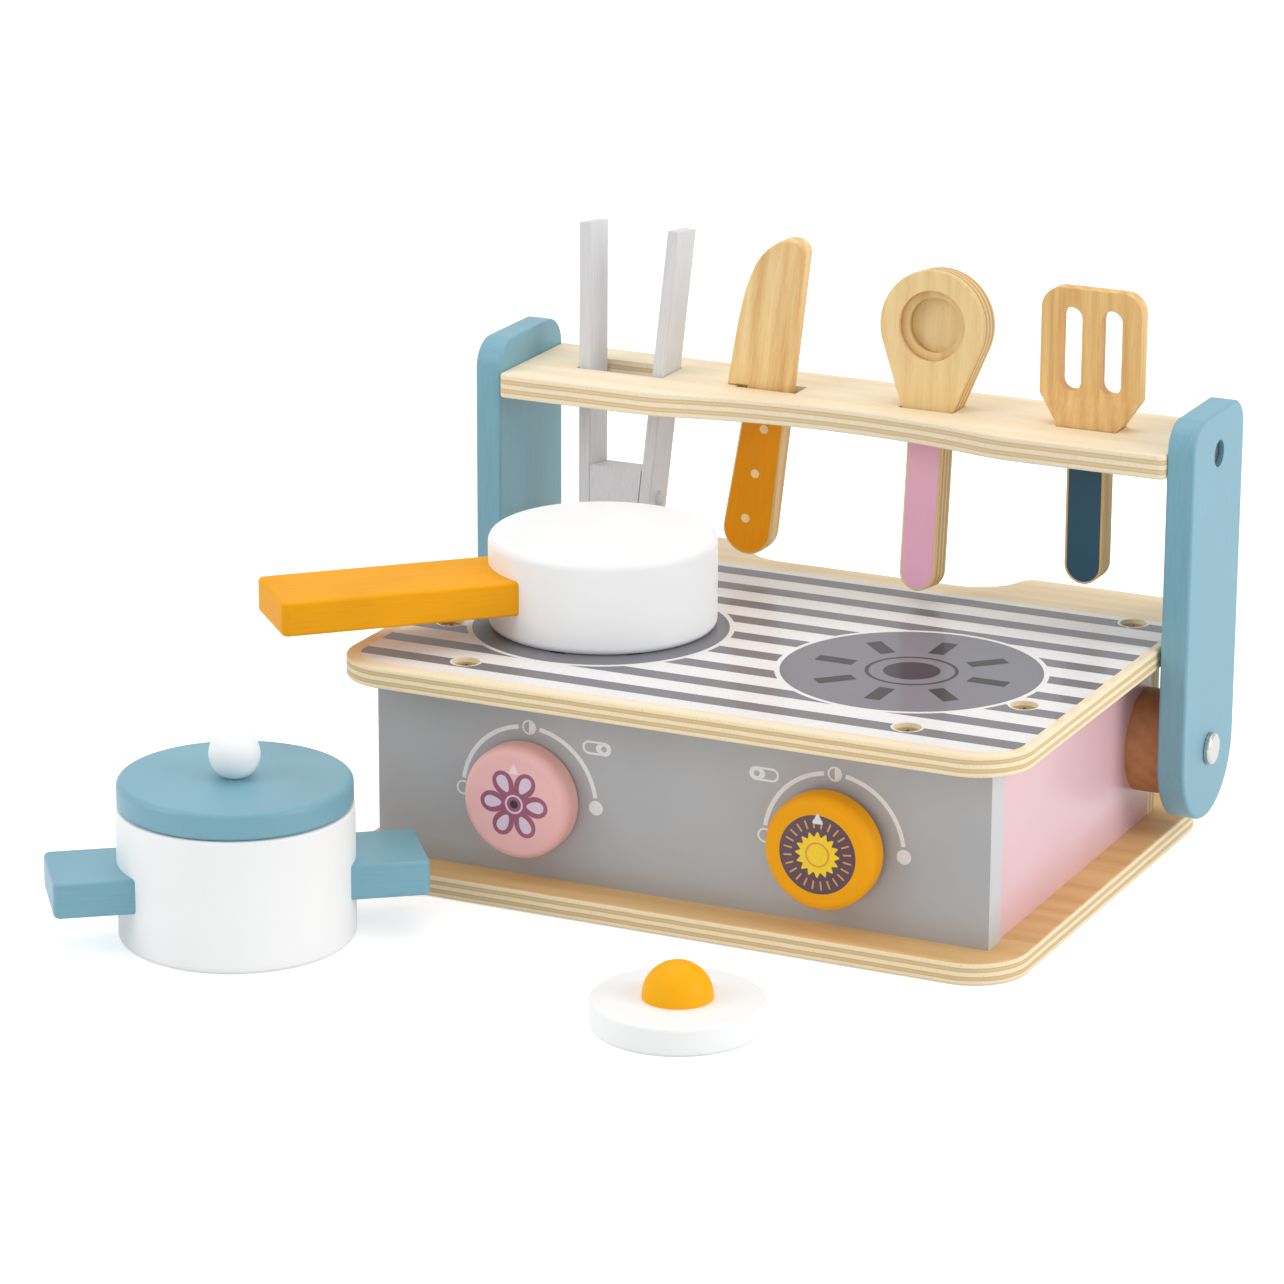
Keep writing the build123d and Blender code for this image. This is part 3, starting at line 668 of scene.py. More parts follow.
@dataclass(frozen=True)
class Metal(Finish):
    """Plated steel with fine scuffs.

    Args:
        colour: colour of the metal.
        roughness: roughness of its polish.
        scuff_size: size of the scuffs in millimetres.
        low_tone: tone of the scuffs against the colour.
        spread: how far the scuffs vary the roughness, down and up.
        relief: depth of the scuffs in millimetres.
        relief_strength: share of the relief that shows.
    """

    colour: Colour = Colour(206, 204, 200)
    roughness: float = 0.24
    scuff_size: float = 0.6
    low_tone: float = 0.93
    spread: Point = (-0.06, 0.08)
    relief: float = 0.01
    relief_strength: float = 0.4

    def fill(self, graph: Graph) -> None:
        """Lay out the plating.

        Args:
            graph: the material's graph.
        """
        scuffs = graph.noise(graph.position(), self.scuff_size, 4.0)
        amount = graph.fit(scuffs, NOISE_CORE)
        colour = graph.ramp(amount, [(0.0, self.colour.toned(self.low_tone)), (1.0, self.colour)])
        graph.tree.links.new(colour, graph.shader.inputs["Base Color"])
        low, high = (self.roughness + change for change in self.spread)
        rough = graph.fit(scuffs, NOISE_CORE, (low, high))
        graph.tree.links.new(rough, graph.shader.inputs["Roughness"])
        graph.shader.inputs["Metallic"].default_value = 1.0
        graph.bump(scuffs, self.relief, self.relief_strength)


# Colours and finishes that several pieces share

BLUE = Colour(119, 170, 188)
WHITE = Colour(251, 252, 253)
ORANGE = Colour(246, 168, 4)
BIRCH = Colour(252, 236, 206)
BIRCH_SHADE = Colour(232, 204, 158)
GREY = Colour(175, 177, 180)
GREY_END = Colour(198, 200, 204)
PALE_GREY = Colour(219, 219, 222)
PINK = Colour(228, 188, 196)
ROSE = Colour(243, 190, 188)
ALONG_X, ALONG_Y, ALONG_Z = Grain(GrainAxis.X), Grain(GrainAxis.Y), Grain(GrainAxis.Z)

WHITE_PAINT = Paint("white_lacquer", "paint_white", WHITE, ALONG_Z, Gloss.SILK, 0.2, 0.006, 0.008)
BLUE_ARM = Paint("blue_arm_paint", "paint_blue", BLUE, ALONG_Z, Gloss.SATIN, 0.8, 0.08)
BLUE_LID = Paint(
    "blue_lid_paint", "paint_blue", BLUE, Grain(GrainAxis.X, (0, 0, 25)), Gloss.SATIN, 0.5, 0.05, 0.025
)
GREY_PANEL = Paint(
    "grey_panel_paint", "paint_grey", GREY, ALONG_X, Gloss.LACQUER, 0.25, 0.02, 0.015, GREY_END
)
PINK_PANEL = Paint("pink_panel_paint", "paint_pink", PINK, ALONG_Y, Gloss.LACQUER, 0.25, 0.02, 0.015)
GREY_TONGS = Paint("grey_tongs_paint", "paint_grey", PALE_GREY, ALONG_Z, Gloss.CHALK, 0.7, 0.05)
DIAL_INK = Ink("pale_dial_ink", "paint_grey", Colour(234, 234, 236), Gloss.LACQUER)
STEEL = Metal("nickel_plate", "steel")
ZINC = Metal("zinc_screw", "steel", Colour(196, 184, 160), 0.34)
# Painted shade: the shelf screws get a dark metal colour so that their counterbored holes in the arms look
# shaded inside.
HOLE_SHADE_SCREW = Metal("hole_shade_dark_screw", "steel", Colour(66, 68, 72), 0.3)
DOWEL_WOOD = Wood("dowel_beech", "dowel_wood", Colour(226, 190, 144), Colour(198, 154, 108), ALONG_Z)
SPACER_WOOD = Wood(
    "spacer_beech", "spacer_wood", Colour(196, 140, 94), Colour(166, 110, 70), Grain(GrainAxis.Y, width=4.0),
    Gloss.OILED, 0.8,
)


# Outlines


def turned(loop: Loop, centre: Point, angle: float) -> Loop:
    """Loop turned about the origin, then moved.

    Args:
        loop: points to turn.
        centre: where the origin goes.
        angle: turn in degrees.

    Returns:
        The loop's points.
    """
    across, along = cos(radians(angle)), sin(radians(angle))
    return [(centre[0] + x * across - y * along, centre[1] + x * along + y * across) for x, y in loop]


def circle(centre: Point, radius: float, segments: int = 96) -> Loop:
    """Round loop.

    Args:
        centre: its middle.
        radius: its radius.
        segments: steps round it.

    Returns:
        The loop's points.
    """
    step = 2 * pi / segments
    return [(centre[0] + radius * cos(step * k), centre[1] + radius * sin(step * k)) for k in range(segments)]


def arc(centre: Point, radius: float, start: float, end: float, segments: int = 24) -> Loop:
    """Points of an arc, ends included.

    Args:
        centre: its middle.
        radius: its radius.
        start: angle of its first point in degrees.
        end: angle of its last point in degrees.
        segments: steps along it.

    Returns:
        The arc's points.
    """
    angles = [radians(start + (end - start) * k / segments) for k in range(segments + 1)]
    return [(centre[0] + radius * cos(angle), centre[1] + radius * sin(angle)) for angle in angles]


def arc_band(
    centre: Point, radius: float, width: float, start: float, end: float, segments: int = 48
) -> Loop:
    """Band that follows an arc.

    Args:
        centre: middle of the arc.
        radius: radius of the band's middle.
        width: width of the band.
        start: angle where it starts, in degrees.
        end: angle where it ends, in degrees.
        segments: steps along it.

    Returns:
        The loop's points.
    """
    outer = arc(centre, radius + width / 2, start, end, segments)
    return outer + arc(centre, radius - width / 2, end, start, segments)


def rounded(corners: list[tuple[float, float, float]], segments: int = 12) -> Loop:
    """Polygon with rounded corners.

    Args:
        corners: x, y and radius of each corner in turn.
        segments: pieces of each corner's arc.

    Returns:
        The loop's points.
    """
    loop: Loop = []
    count, straight = len(corners), pi - 1e-3
    for index, (x, y, radius) in enumerate(corners):
        here = Vector((x, y))
        before = (Vector(corners[index - 1][:2]) - here).normalized()
        after = (Vector(corners[(index + 1) % count][:2]) - here).normalized()
        opening = before.angle(after)
        if radius <= 0 or opening > straight:
            loop.append((x, y))
            continue
        reach = radius / tan(opening / 2)
        centre = here + (before + after).normalized() * (radius / sin(opening / 2))
        first, last = here + before * reach - centre, here + after * reach - centre
        start = atan2(first.y, first.x)
        sweep = (atan2(last.y, last.x) - start + pi) % (2 * pi) - pi
        for k in range(segments + 1):
            angle = start + sweep * k / segments
            loop.append((centre.x + radius * cos(angle), centre.y + radius * sin(angle)))
    return loop


def capsule(centre: Point, length: float, width: float, angle: float = 0.0, segments: int = 16) -> Loop:
    """Bar with round ends.

    Args:
        centre: its middle.
        length: its whole length.
        width: its width.
        angle: turn in degrees.
        segments: steps round each end.

    Returns:
        The loop's points.
    """
    half = (length - width) / 2
    ends = arc((half, 0), width / 2, -90, 90, segments) + arc((-half, 0), width / 2, 90, 270, segments)
    return turned(ends, centre, angle)


def bar(centre: Point, length: float, width: float, angle: float, ease: float = 0.6) -> Loop:
    """Straight bar with slightly rounded corners.

    Args:
        centre: its middle.
        length: its length.
        width: its width.
        angle: turn in degrees.
        ease: radius of its corners.

    Returns:
        The loop's points.
    """
    half, side = length / 2, width / 2
    corners = [(-half, -side, ease), (half, -side, ease), (half, side, ease), (-half, side, ease)]
    return turned(rounded(corners, 4), centre, angle)


def leaf(
    reach: float, length: float, width: float, angle: float, swell: float = 0.3, segments: int = 40
) -> Loop:
    """Oval that is fuller at its outer end.

    Args:
        reach: distance from the centre to its middle.
        length: its length.
        width: its width.
        angle: turn in degrees.
        swell: how much fuller the outer end is.
        segments: steps round it.

    Returns:
        The loop's points.
    """
    ways = [2 * pi * k / segments for k in range(segments)]
    oval = [
        (reach + length / 2 * cos(way), width / 2 * sin(way) * (1 + swell * cos(way))) for way in ways
    ]
    return turned(oval, (0.0, 0.0), angle)


# Places and meshes


@dataclass(frozen=True)
class Place:
    """Flat place in the model's frame.

    Args:
        origin: point of the place, in millimetres.
        across: direction of its first axis.
        up: direction of its second axis.
    """

    origin: tuple[float, float, float]
    across: tuple[float, float, float] = (1.0, 0.0, 0.0)
    up: tuple[float, float, float] = (0.0, 1.0, 0.0)

    @property
    def normal(self) -> Vector:
        """Direction that the place faces."""
        return Vector(self.across).cross(Vector(self.up)).normalized()

    @property
    def matrix(self) -> Matrix:
        """Matrix from millimetres on the place to metres in the frame."""
        axes = (Vector(self.across).normalized(), Vector(self.up).normalized(), self.normal)
        turn = Matrix([[axis[row] for axis in axes] for row in range(3)]).to_4x4()
        return Matrix.Translation(Vector(self.origin) * MM) @ turn @ Matrix.Scale(MM, 4)

    def raised(self, distance: float) -> "Place":
        """Same place, moved along its normal.

        Args:
            distance: how far it moves, in millimetres.

        Returns:
            The moved place.
        """
        return Place(tuple(Vector(self.origin) + self.normal * distance), self.across, self.up)


def curve_mesh(name: str, loops: list[Loop], depth: float = 0.0, ease: float = 0.0) -> bpy.types.Mesh:
    """Filled flat mesh from loops, or a slab with eased edges.

    Args:
        name: name of the mesh.
        loops: closed outlines; a loop inside another is a hole.
        depth: thickness of a slab, or 0 for a sheet.
        ease: radius of the slab's edges.

    Returns:
        The mesh, in millimetres, whose slab stands on z 0.
    """
    curve = bpy.data.curves.new(name, "CURVE")
    curve.dimensions = "2D"
    curve.fill_mode = "BOTH" if depth else "FRONT"
    for loop in loops:
        spline = curve.splines.new("POLY")
        spline.points.add(len(loop) - 1)
        spline.points.foreach_set("co", [value for x, y in loop for value in (x, y, 0.0, 1.0)])
        spline.use_cyclic_u = True
    if depth:
        curve.extrude = depth / 2 - ease
        curve.bevel_depth = ease
        curve.bevel_resolution = 2
        curve.offset = -ease
    holder = bpy.data.objects.new(name, curve)
    mesh = bpy.data.meshes.new_from_object(holder)
    bpy.data.objects.remove(holder)
    bpy.data.curves.remove(curve)
    if depth:
        mesh.transform(Matrix.Translation((0, 0, depth / 2)))
    return mesh


def lathe_mesh(name: str, profile: Loop, segments: int = 48) -> bpy.types.Mesh:
    """Turned mesh.

    Args:
        name: name of the mesh.
        profile: radius and height of each point, from the axis round to the axis.
        segments: steps round the axis.

    Returns:
        The mesh, in millimetres, about the Z axis.
    """
    work = bmesh.new()
    points = [work.verts.new((radius, 0, height)) for radius, height in profile]
    edges = [work.edges.new(pair) for pair in zip(points, points[1:])]
    bmesh.ops.spin(work, geom=points + edges, cent=(0, 0, 0), axis=(0, 0, 1), angle=2 * pi, steps=segments)
    bmesh.ops.remove_doubles(work, verts=work.verts, dist=WELD)
    bmesh.ops.recalc_face_normals(work, faces=work.faces)
    mesh = bpy.data.meshes.new(name)
    work.to_mesh(mesh)
    work.free()
    return mesh


# Sub-assemblies


@dataclass
class Assembly:
    """Group of pieces that ride on one body.

    Args:
        body: name of the body that carries them.
    """

    body: str = "stove_box"

    def build(self) -> None:
        """Make the group's pieces and dress its solids."""
        raise NotImplementedError

    def dress(self, finish: Finish, *nodes: str) -> None:
        """Give solids a finish.

        Args:
            finish: what they are finished in.
            nodes: names of the solids.
        """
        for name in nodes:
            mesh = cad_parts[name].data
            mesh.materials.clear()
            mesh.materials.append(finish.material)
            LOG.info("dressed %s in %s", name, finish.name)

    def add(self, name: str, mesh: bpy.types.Mesh, place: Place, finish: Finish) -> bpy.types.Object:
        """Put a new piece in its place on the body.

        Args:
            name: name of the piece.
            mesh: its mesh in millimetres.
            place: where it goes.
            finish: what it is finished in.

        Returns:
            The new object.
        """
        mesh.transform(place.matrix)
        mesh.materials.clear()
        mesh.materials.append(finish.material)
        piece = bpy.data.objects.new(name, mesh)
        bpy.context.scene.collection.objects.link(piece)
        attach(piece, self.body)
        LOG.info("made %s of %d faces on %s", name, len(mesh.polygons), self.body)
        return piece

    def print_on(
        self, name: str, loops: list[Loop], place: Place, finish: Finish, layer: int = 1
    ) -> bpy.types.Object:
        """Print loops on a face.

        Args:
            name: name of the print.
            loops: closed outlines; a loop inside another is a hole.
            place: face that they lie on.
            finish: ink that they are printed in.
            layer: number of the layer above the face.

        Returns:
            The new object.
        """
        return self.add(name, curve_mesh(name, loops), place.raised(layer * PRINT_STEP), finish)


@dataclass
class Plates(Assembly):
    """Base and top plates with the hob's print.

    Args:
        print_left: left edge of the white field; the other three edges follow.
        first_stripe: middle of the front stripe.
        burners: centres of the two burners.
        burner_line: white ring between a burner and the stripes.
        band_radii: outer and inner radius of the thin ring on a burner.
        bar_reach: distance from a burner's centre to the middle of its bars.
        hole_ring: white left round a screw hole.
        hole_ease: gap between a screw hole and the print.
        right_holes: screw holes of the right half; the left half mirrors them.
        end_steps: steps along the end of a stripe.
    """

    corner_radius: float = 16.0
    hob_level: float = 91.5
    thickness: float = 9.0
    print_left: float = -138.0
    print_right: float = 141.3
    print_front: float = -107.5
    print_back: float = 78.5
    print_back_radius: float = 8.0
    stripe_pitch: float = 20.4
    stripe_width: float = 8.8
    first_stripe: float = -94.0
    stripe_count: int = 9
    burners: tuple[Point, Point] = ((-66.7, -25.4), (68.0, -25.4))
    burner_radius: float = 53.7
    burner_line: float = 2.1
    core_radius: float = 11.2
    band_radii: Point = (18.4, 16.9)
    bar_count: int = 8
    bar_reach: float = 32.2
    bar_length: float = 15.8
    bar_width: float = 6.6
    hole_radius: float = 5.5
    hole_ring: float = 0.9
    hole_ease: float = 0.05
    right_holes: tuple[Point, ...] = ((93.7, -91.0), (123.5, -46.5), (123.5, 72.6))
    end_steps: int = 12

    @property
    def holes(self) -> list[Point]:
        """Screw holes on both sides."""
        return [(side * x, y) for side in (-1, 1) for x, y in self.right_holes]

    @property
    def blocks(self) -> list[tuple[Point, float]]:
        """Centres and radii of all that the stripes stop at."""
        burners = [(centre, self.burner_radius) for centre in self.burners]
        return burners + [(hole, self.hole_radius + self.hole_ring) for hole in self.holes]

    def build(self) -> None:
        """Dress both plates and print the hob."""
        tan_light, tan_dark = Colour(240, 202, 142), Colour(212, 164, 102)
        grain = Grain(GrainAxis.X, width=7.0)
        under = self.hob_level - self.thickness
        base = Plywood("base_plywood", "plywood", tan_light, tan_dark, grain, Gloss.OILED, 0.8, level=0.0)
        top = Plywood("hob_plywood", "plywood", BIRCH, BIRCH_SHADE, grain, Gloss.OILED, 0.7, level=under)
        self.dress(base, "base_plate")
        self.dress(top, "top_plate")
        self.print_hob()

    def field_outline(self) -> Loop:
        """Outline of the white field."""
        front, back = self.corner_radius, self.print_back_radius
        return rounded(
            [
                (self.print_left, self.print_front, front),
                (self.print_right, self.print_front, front),
                (self.print_right, self.print_back, back),
                (self.print_left, self.print_back, back),
            ]
        )

    def stripe_spans(self, low: float, high: float) -> list[Point]:
        """Stretches of one stripe between the burners and the screw holes.

        Args:
            low: front edge of the stripe.
            high: back edge of the stripe.

        Returns:
            Left and right ends of each stretch, measured at the stripe's middle.
        """
        middle = (low + high) / 2
        spans = [(self.print_left, self.print_right)]
        for (x, y), radius in self.blocks:
            if abs(middle - y) >= radius + self.stripe_width / 2:
                continue
            halves = [(left, min(right, x)) for left, right in spans]
            halves += [(max(left, x), right) for left, right in spans]
            spans = [half for half in halves if half[0] < half[1]]
        return spans

    def edge_points(self, x: float, low: float, high: float, inward: int) -> Loop:
        """Points of a stripe's end, cut round by what it meets.

        Args:
            x: where the stretch ends.
            low: front edge of the stripe.
            high: back edge of the stripe.
            inward: 1 where the stripe lies to the right of the end, and -1 where it lies to the left.

        Returns:
            Points from the front edge to the back edge.
        """
        points = []
        for k in range(self.end_steps + 1):
            y = low + (high - low) * k / self.end_steps
            end = x
            for (cx, cy), radius in self.blocks:
                if abs(cx - x) < CLOSE and abs(y - cy) < radius:
                    end = cx + inward * (radius**2 - (y - cy) ** 2) ** 0.5
            front = self.print_front + self.corner_radius
            if y < front and x in (self.print_left, self.print_right):
                sag = self.corner_radius - (self.corner_radius**2 - (front - y) ** 2) ** 0.5
                end = x + inward * sag
            points.append((end, y))
        return points

    def stripes(self) -> list[Loop]:
        """Outlines of all stretches of all stripes.

        Returns:
            One loop for each stretch.
        """
        loops: list[Loop] = []
        for index in range(self.stripe_count):
            middle = self.first_stripe + index * self.stripe_pitch
            low, high = middle - self.stripe_width / 2, middle + self.stripe_width / 2
            for left, right in self.stripe_spans(low, high):
                start = self.edge_points(left, low, high, 1)
                end = self.edge_points(right, low, high, -1)
                if max(point[0] for point in start) < min(point[0] for point in end):
                    loops.append(start[::-1] + end)
        return loops

    def burner_marks(self, centre: Point) -> list[Loop]:
        """Outlines of a burner's core, thin ring and bars.

        Args:
            centre: the burner's middle.

        Returns:
            One loop for each edge.
        """
        loops = [circle(centre, radius) for radius in (self.core_radius, *self.band_radii)]
        for k in range(self.bar_count):
            way = 2 * pi * k / self.bar_count
            middle = (centre[0] + self.bar_reach * cos(way), centre[1] + self.bar_reach * sin(way))
            loops.append(bar(middle, self.bar_length, self.bar_width, degrees(way)))
        return loops

    def print_hob(self) -> None:
        """Print the white field, the stripes and the two burners."""
        top = Place((0.0, 0.0, self.hob_level))
        white = Ink("hob_white_ink", "paint_white", Colour(239, 238, 238))
        dark = Ink("hob_stripe_ink", "paint_grey", Colour(122, 121, 127))
        plate = Ink("burner_grey_ink", "paint_grey", Colour(121, 121, 128))
        coil = Ink("burner_dark_ink", "paint_grey", Colour(24, 23, 29))
        holes = [circle(hole, self.hole_radius + self.hole_ease, 48) for hole in self.holes]
        self.print_on("hob_field", [self.field_outline(), *holes], top, white)
        self.print_on("hob_stripes", self.stripes(), top, dark, 2)
        for name, centre in zip(("left", "right"), self.burners):
            disc = circle(centre, self.burner_radius - self.burner_line)
            self.print_on(f"{name}_burner", [disc], top, plate, 2)
            self.print_on(f"{name}_burner_marks", self.burner_marks(centre), top, coil, 3)


@dataclass
class Panels(Assembly):
    """Panels between the plates, with the two printed dials.

    Args:
        face_y: place of the front panel's face.
        dial_spans: first and last angle of each of a dial's two arcs, in degrees.
        ring_line: line of the ring at a dial's left end.
        half_line: line of the half-filled ring at a dial's top.
        half_inset: gap between that ring's edge and its filled half.
        pill_x: place of a switch mark, with pill_z.
        switch_extra: how much longer than wide a switch mark's filled half is.
        switch_gap: gap between that half and the mark's line.
        print_shift: how far the print sits off the knobs' centres.
    """

    face_y: float = -95.7
    knob_x: float = 65.0
    knob_z: float = 41.5
    dial_radius: float = 29.0
    dial_line: float = 1.8
    dial_spans: tuple[Point, Point] = ((8.0, 81.0), (99.0, 172.0))
    mark_radius: float = 3.0
    ring_line: float = 0.8
    half_line: float = 0.7
    half_inset: float = 0.75
    pill_x: float = 35.6
    pill_z: float = 66.1
    pill_length: float = 12.4
    pill_width: float = 5.6
    pill_line: float = 0.9
    switch_extra: float = 2.0
    switch_gap: float = 0.06
    switch_hole: float = 1.2
    switch_hole_shift: float = 0.7
    back_face: float = 79.5
    print_shift: Point = (1.2, -0.4)

    def build(self) -> None:
        """Dress the panels and print the dials."""
        self.dress(GREY_PANEL, "front_panel")
        self.dress(PINK_PANEL, "left_panel", "right_panel")
        back = Plywood(
            "back_plywood", "plywood", BIRCH, BIRCH_SHADE, Grain(GrainAxis.X, width=7.0),
            axis=(0, 1, 0), level=self.back_face,
        )
        self.dress(back, "back_panel")
        face = Place((self.print_shift[0], self.face_y, self.print_shift[1]), (1, 0, 0), (0, 0, 1))
        for side, name in ((-1, "left"), (1, "right")):
            self.print_on(f"{name}_dial", self.dial(side), face, DIAL_INK)
            self.print_on(f"{name}_switch_mark", self.pill(side), face, DIAL_INK)

    def dial(self, side: int) -> list[Loop]:
        """Two arcs and three marks of one dial.

        Args:
            side: -1 for the left dial, 1 for the right.

        Returns:
            One loop for each edge.
        """
        centre = (side * self.knob_x, self.knob_z)
        radius, mark = self.dial_radius, self.mark_radius
        top = (centre[0], centre[1] + radius)
        left, right = (centre[0] - radius, centre[1]), (centre[0] + radius, centre[1])
        arcs = [arc_band(centre, radius, self.dial_line, start, end) for start, end in self.dial_spans]
        marks = [
            circle(right, mark, 48),
            circle(left, mark, 48),
            circle(left, mark - self.ring_line, 48),
            circle(top, mark, 48),
            circle(top, mark - self.half_line, 48),
            arc(top, mark - self.half_inset, -90, 90, 20),
        ]
        return arcs + marks

    def pill(self, side: int) -> list[Loop]:
        """Outlined switch mark with its inner half filled round a hole.

        Args:
            side: -1 for the left mark, 1 for the right.

        Returns:
            One loop for each edge.
        """
        centre, line = (side * self.pill_x, self.pill_z), self.pill_line
        inner_length, inner_width = self.pill_length - 2 * line, self.pill_width - 2 * line
        half = inner_width + self.switch_extra
        knob = (centre[0] - side * (inner_length - half) / 2, centre[1])
        hole = (knob[0] - side * self.switch_hole_shift, knob[1])
        return [
            capsule(centre, self.pill_length, self.pill_width),
            capsule(centre, inner_length, inner_width),
            capsule(knob, half - self.switch_gap, inner_width - self.switch_gap),
            circle(hole, self.switch_hole, 32),
        ]


@dataclass
class Screws(Assembly):
    """Screws and pivots, with cross recesses in the heads that show.

    Args:
        screw_count: number of screws in each plate.
        recess_ease: radius of the recess's edges.
        recess_over: how far its cutter stands out of the head.
        rim_height: height of the head's straight rim.
        dome_angles: angles of the points of the head's dome, in degrees.
        core_share: radius between two turns of the thread, as a share of the shank's.
        neck_share: radius of the plain ends of the shank, as a share of the shank's.
        tip_share: radius of the flat tip, as a share of the shank's.
        tip_length: height of the cone at the tip.
        neck_length: plain length under the head.
        thread_free: length that no turn of the thread takes.
        crease: angle in degrees above which an edge stays sharp.
        twist: how far the recesses are turned, as a slope.
    """

    head_radius: float = 4.8
    head_height: float = 2.6
    shank_radius: float = 2.0
    recess_length: float = 4.6
    recess_width: float = 1.0
    recess_depth: float = 1.3
    screw_count: int = 6
    recess_ease: float = 0.05
    recess_over: float = 1.0
    rim_height: float = 0.5
    dome_angles: range = range(12, 90, 13)
    thread_pitch: float = 1.6
    core_share: float = 0.78
    neck_share: float = 0.8
    tip_share: float = 0.4
    tip_length: float = 1.2
    neck_length: float = 2.0
    thread_free: float = 4.0
    crease: float = 32.0
    twist: float = 0.3

    def dome(self) -> Loop:
        """Profile of the head.

        Returns:
            Radius and height of each point, from the axis round to the axis.
        """
        radius, rim = self.head_radius, self.rim_height
        rise = self.head_height - rim
        turns = [radians(angle) for angle in self.dome_angles]
        curve = [(radius * cos(turn), rim + rise * sin(turn)) for turn in turns]
        return [(0.0, 0.0), (radius, 0.0), (radius, rim), *curve, (0.0, self.head_height)]

    def recess(self, name: str) -> bpy.types.Mesh:
        """Solid cross that cuts the recess.

        Args:
            name: name of the mesh.

        Returns:
            The mesh, in millimetres.
        """
        length, width = self.recess_length / 2, self.recess_width / 2
        arm = [(length, -width), (length, width), (width, width)]
        cross = [point for quarter in range(4) for point in turned(arm, (0.0, 0.0), 90 * quarter)]
        mesh = curve_mesh(name, [cross], self.recess_depth + self.recess_over, self.recess_ease)
        mesh.transform(Matrix.Translation((0, 0, self.head_height - self.recess_depth)))
        return mesh

    def head(self, name: str) -> bpy.types.Mesh:
        """Domed head with a cross recess.

        Args:
            name: name of the mesh.

        Returns:
            The mesh, in millimetres, standing on z 0.
        """
        body = bpy.data.objects.new(name, lathe_mesh(name, self.dome()))
        cutter = bpy.data.objects.new(f"{name}_recess", self.recess(f"{name}_recess"))
        for item in (body, cutter):
            bpy.context.scene.collection.objects.link(item)
        cut = body.modifiers.new("recess", "BOOLEAN")
        cut.operation = "DIFFERENCE"
        cut.object = cutter
        graph = bpy.context.evaluated_depsgraph_get()
        mesh = bpy.data.meshes.new_from_object(body.evaluated_get(graph))
        for item in (body, cutter):
            bpy.data.objects.remove(item)
        for face in mesh.polygons:
            face.use_smooth = True
        mesh.set_sharp_from_angle(angle=radians(self.crease))
        return mesh

    def build(self) -> None:
        """Dress every fastener and lay a recessed head over each plain one that shows."""
        numbers = range(1, self.screw_count + 1)
        self.dress(ZINC, *(f"{group}_screw_{number}" for group in ("base", "top") for number in numbers))
        self.dress(STEEL, "left_pivot_bolt", "right_pivot_bolt", "left_pivot_nut", "right_pivot_nut")
        self.dress(SPACER_WOOD, "left_spacer", "right_spacer")
        for group, direction in (("base", -1), ("top", 1)):
            for number in numbers:
                low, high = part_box(f"{group}_screw_{number}")
                x, y = (low.x + high.x) / 2 / MM, (low.y + high.y) / 2 / MM
                level = (high.z if direction > 0 else low.z) / MM - direction * self.head_height
                place = Place((x, y, level), (1, self.twist * direction, 0), (-self.twist, direction, 0))
                self.cover(f"{group}_screw_{number}", place, level, direction)

    def cover(self, node: str, place: Place, level: float, direction: int) -> None:
        """Stand a recessed screw in for a plain one.

        Args:
            node: name of the plain screw's solid.
            place: seat of the head.
            level: height of the seat.
            direction: 1 where the head faces up, and -1 where it faces down.
        """
        low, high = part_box(node)
        length = (level * MM - low.z if direction > 0 else high.z - level * MM) / MM
        mesh = self.head(f"{node}_head")
        work = bmesh.new()
        work.from_mesh(mesh)
        shank = lathe_mesh("shank", self.thread(length), 24)
        work.from_mesh(shank)
        work.to_mesh(mesh)
        work.free()
        bpy.data.meshes.remove(shank)
        piece = self.add(f"{node}_crossed", mesh, place, ZINC)
        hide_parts(node)

    def thread(self, length: float) -> Loop:
        """Profile of the threaded shank.

        Args:
            length: length from the head's seat to the tip.

        Returns:
            Radius and height of each point, from the tip's middle up to the head's seat.
        """
        radius, pitch = self.shank_radius, self.thread_pitch
        neck, core = radius * self.neck_share, radius * self.core_share
        loop = [(0.0, -length), (radius * self.tip_share, -length), (neck, -length + self.tip_length)]
        for turn in range(int((length - self.thread_free) / pitch)):
            height = -length + pitch + turn * pitch
            loop += [(core, height), (radius, height + pitch / 2)]
        return loop + [(neck, -self.neck_length), (neck, 0.0), (0.0, 0.0)]


@dataclass
class Frame(Assembly):
    """Folding frame: two painted arms and the slotted shelf.

    Args:
        shelf_level: height of the shelf's underside.
        shelf_thickness: thickness of the shelf.
    """

    body: str = "utensil_frame"
    shelf_level: float = 161.5
    shelf_thickness: float = 10.0

    def build(self) -> None:
        """Dress the arms, the shelf and the screws at its ends."""
        self.dress(BLUE_ARM, "left_arm", "right_arm")
        shelf = Plywood(
            "shelf_plywood", "plywood", Colour(253, 240, 215), BIRCH_SHADE,
            Grain(GrainAxis.X, width=8.0, stretch=26.0), Gloss.RAW, 0.6,
            level=self.shelf_level, thickness=self.shelf_thickness,
            edge_light=BIRCH, edge_dark=Colour(234, 208, 162),
        )
        self.dress(shelf, "shelf")
        # Dark screws: painted shade in the arms' counterbored holes.
        self.dress(HOLE_SHADE_SCREW, "left_shelf_screw", "right_shelf_screw")


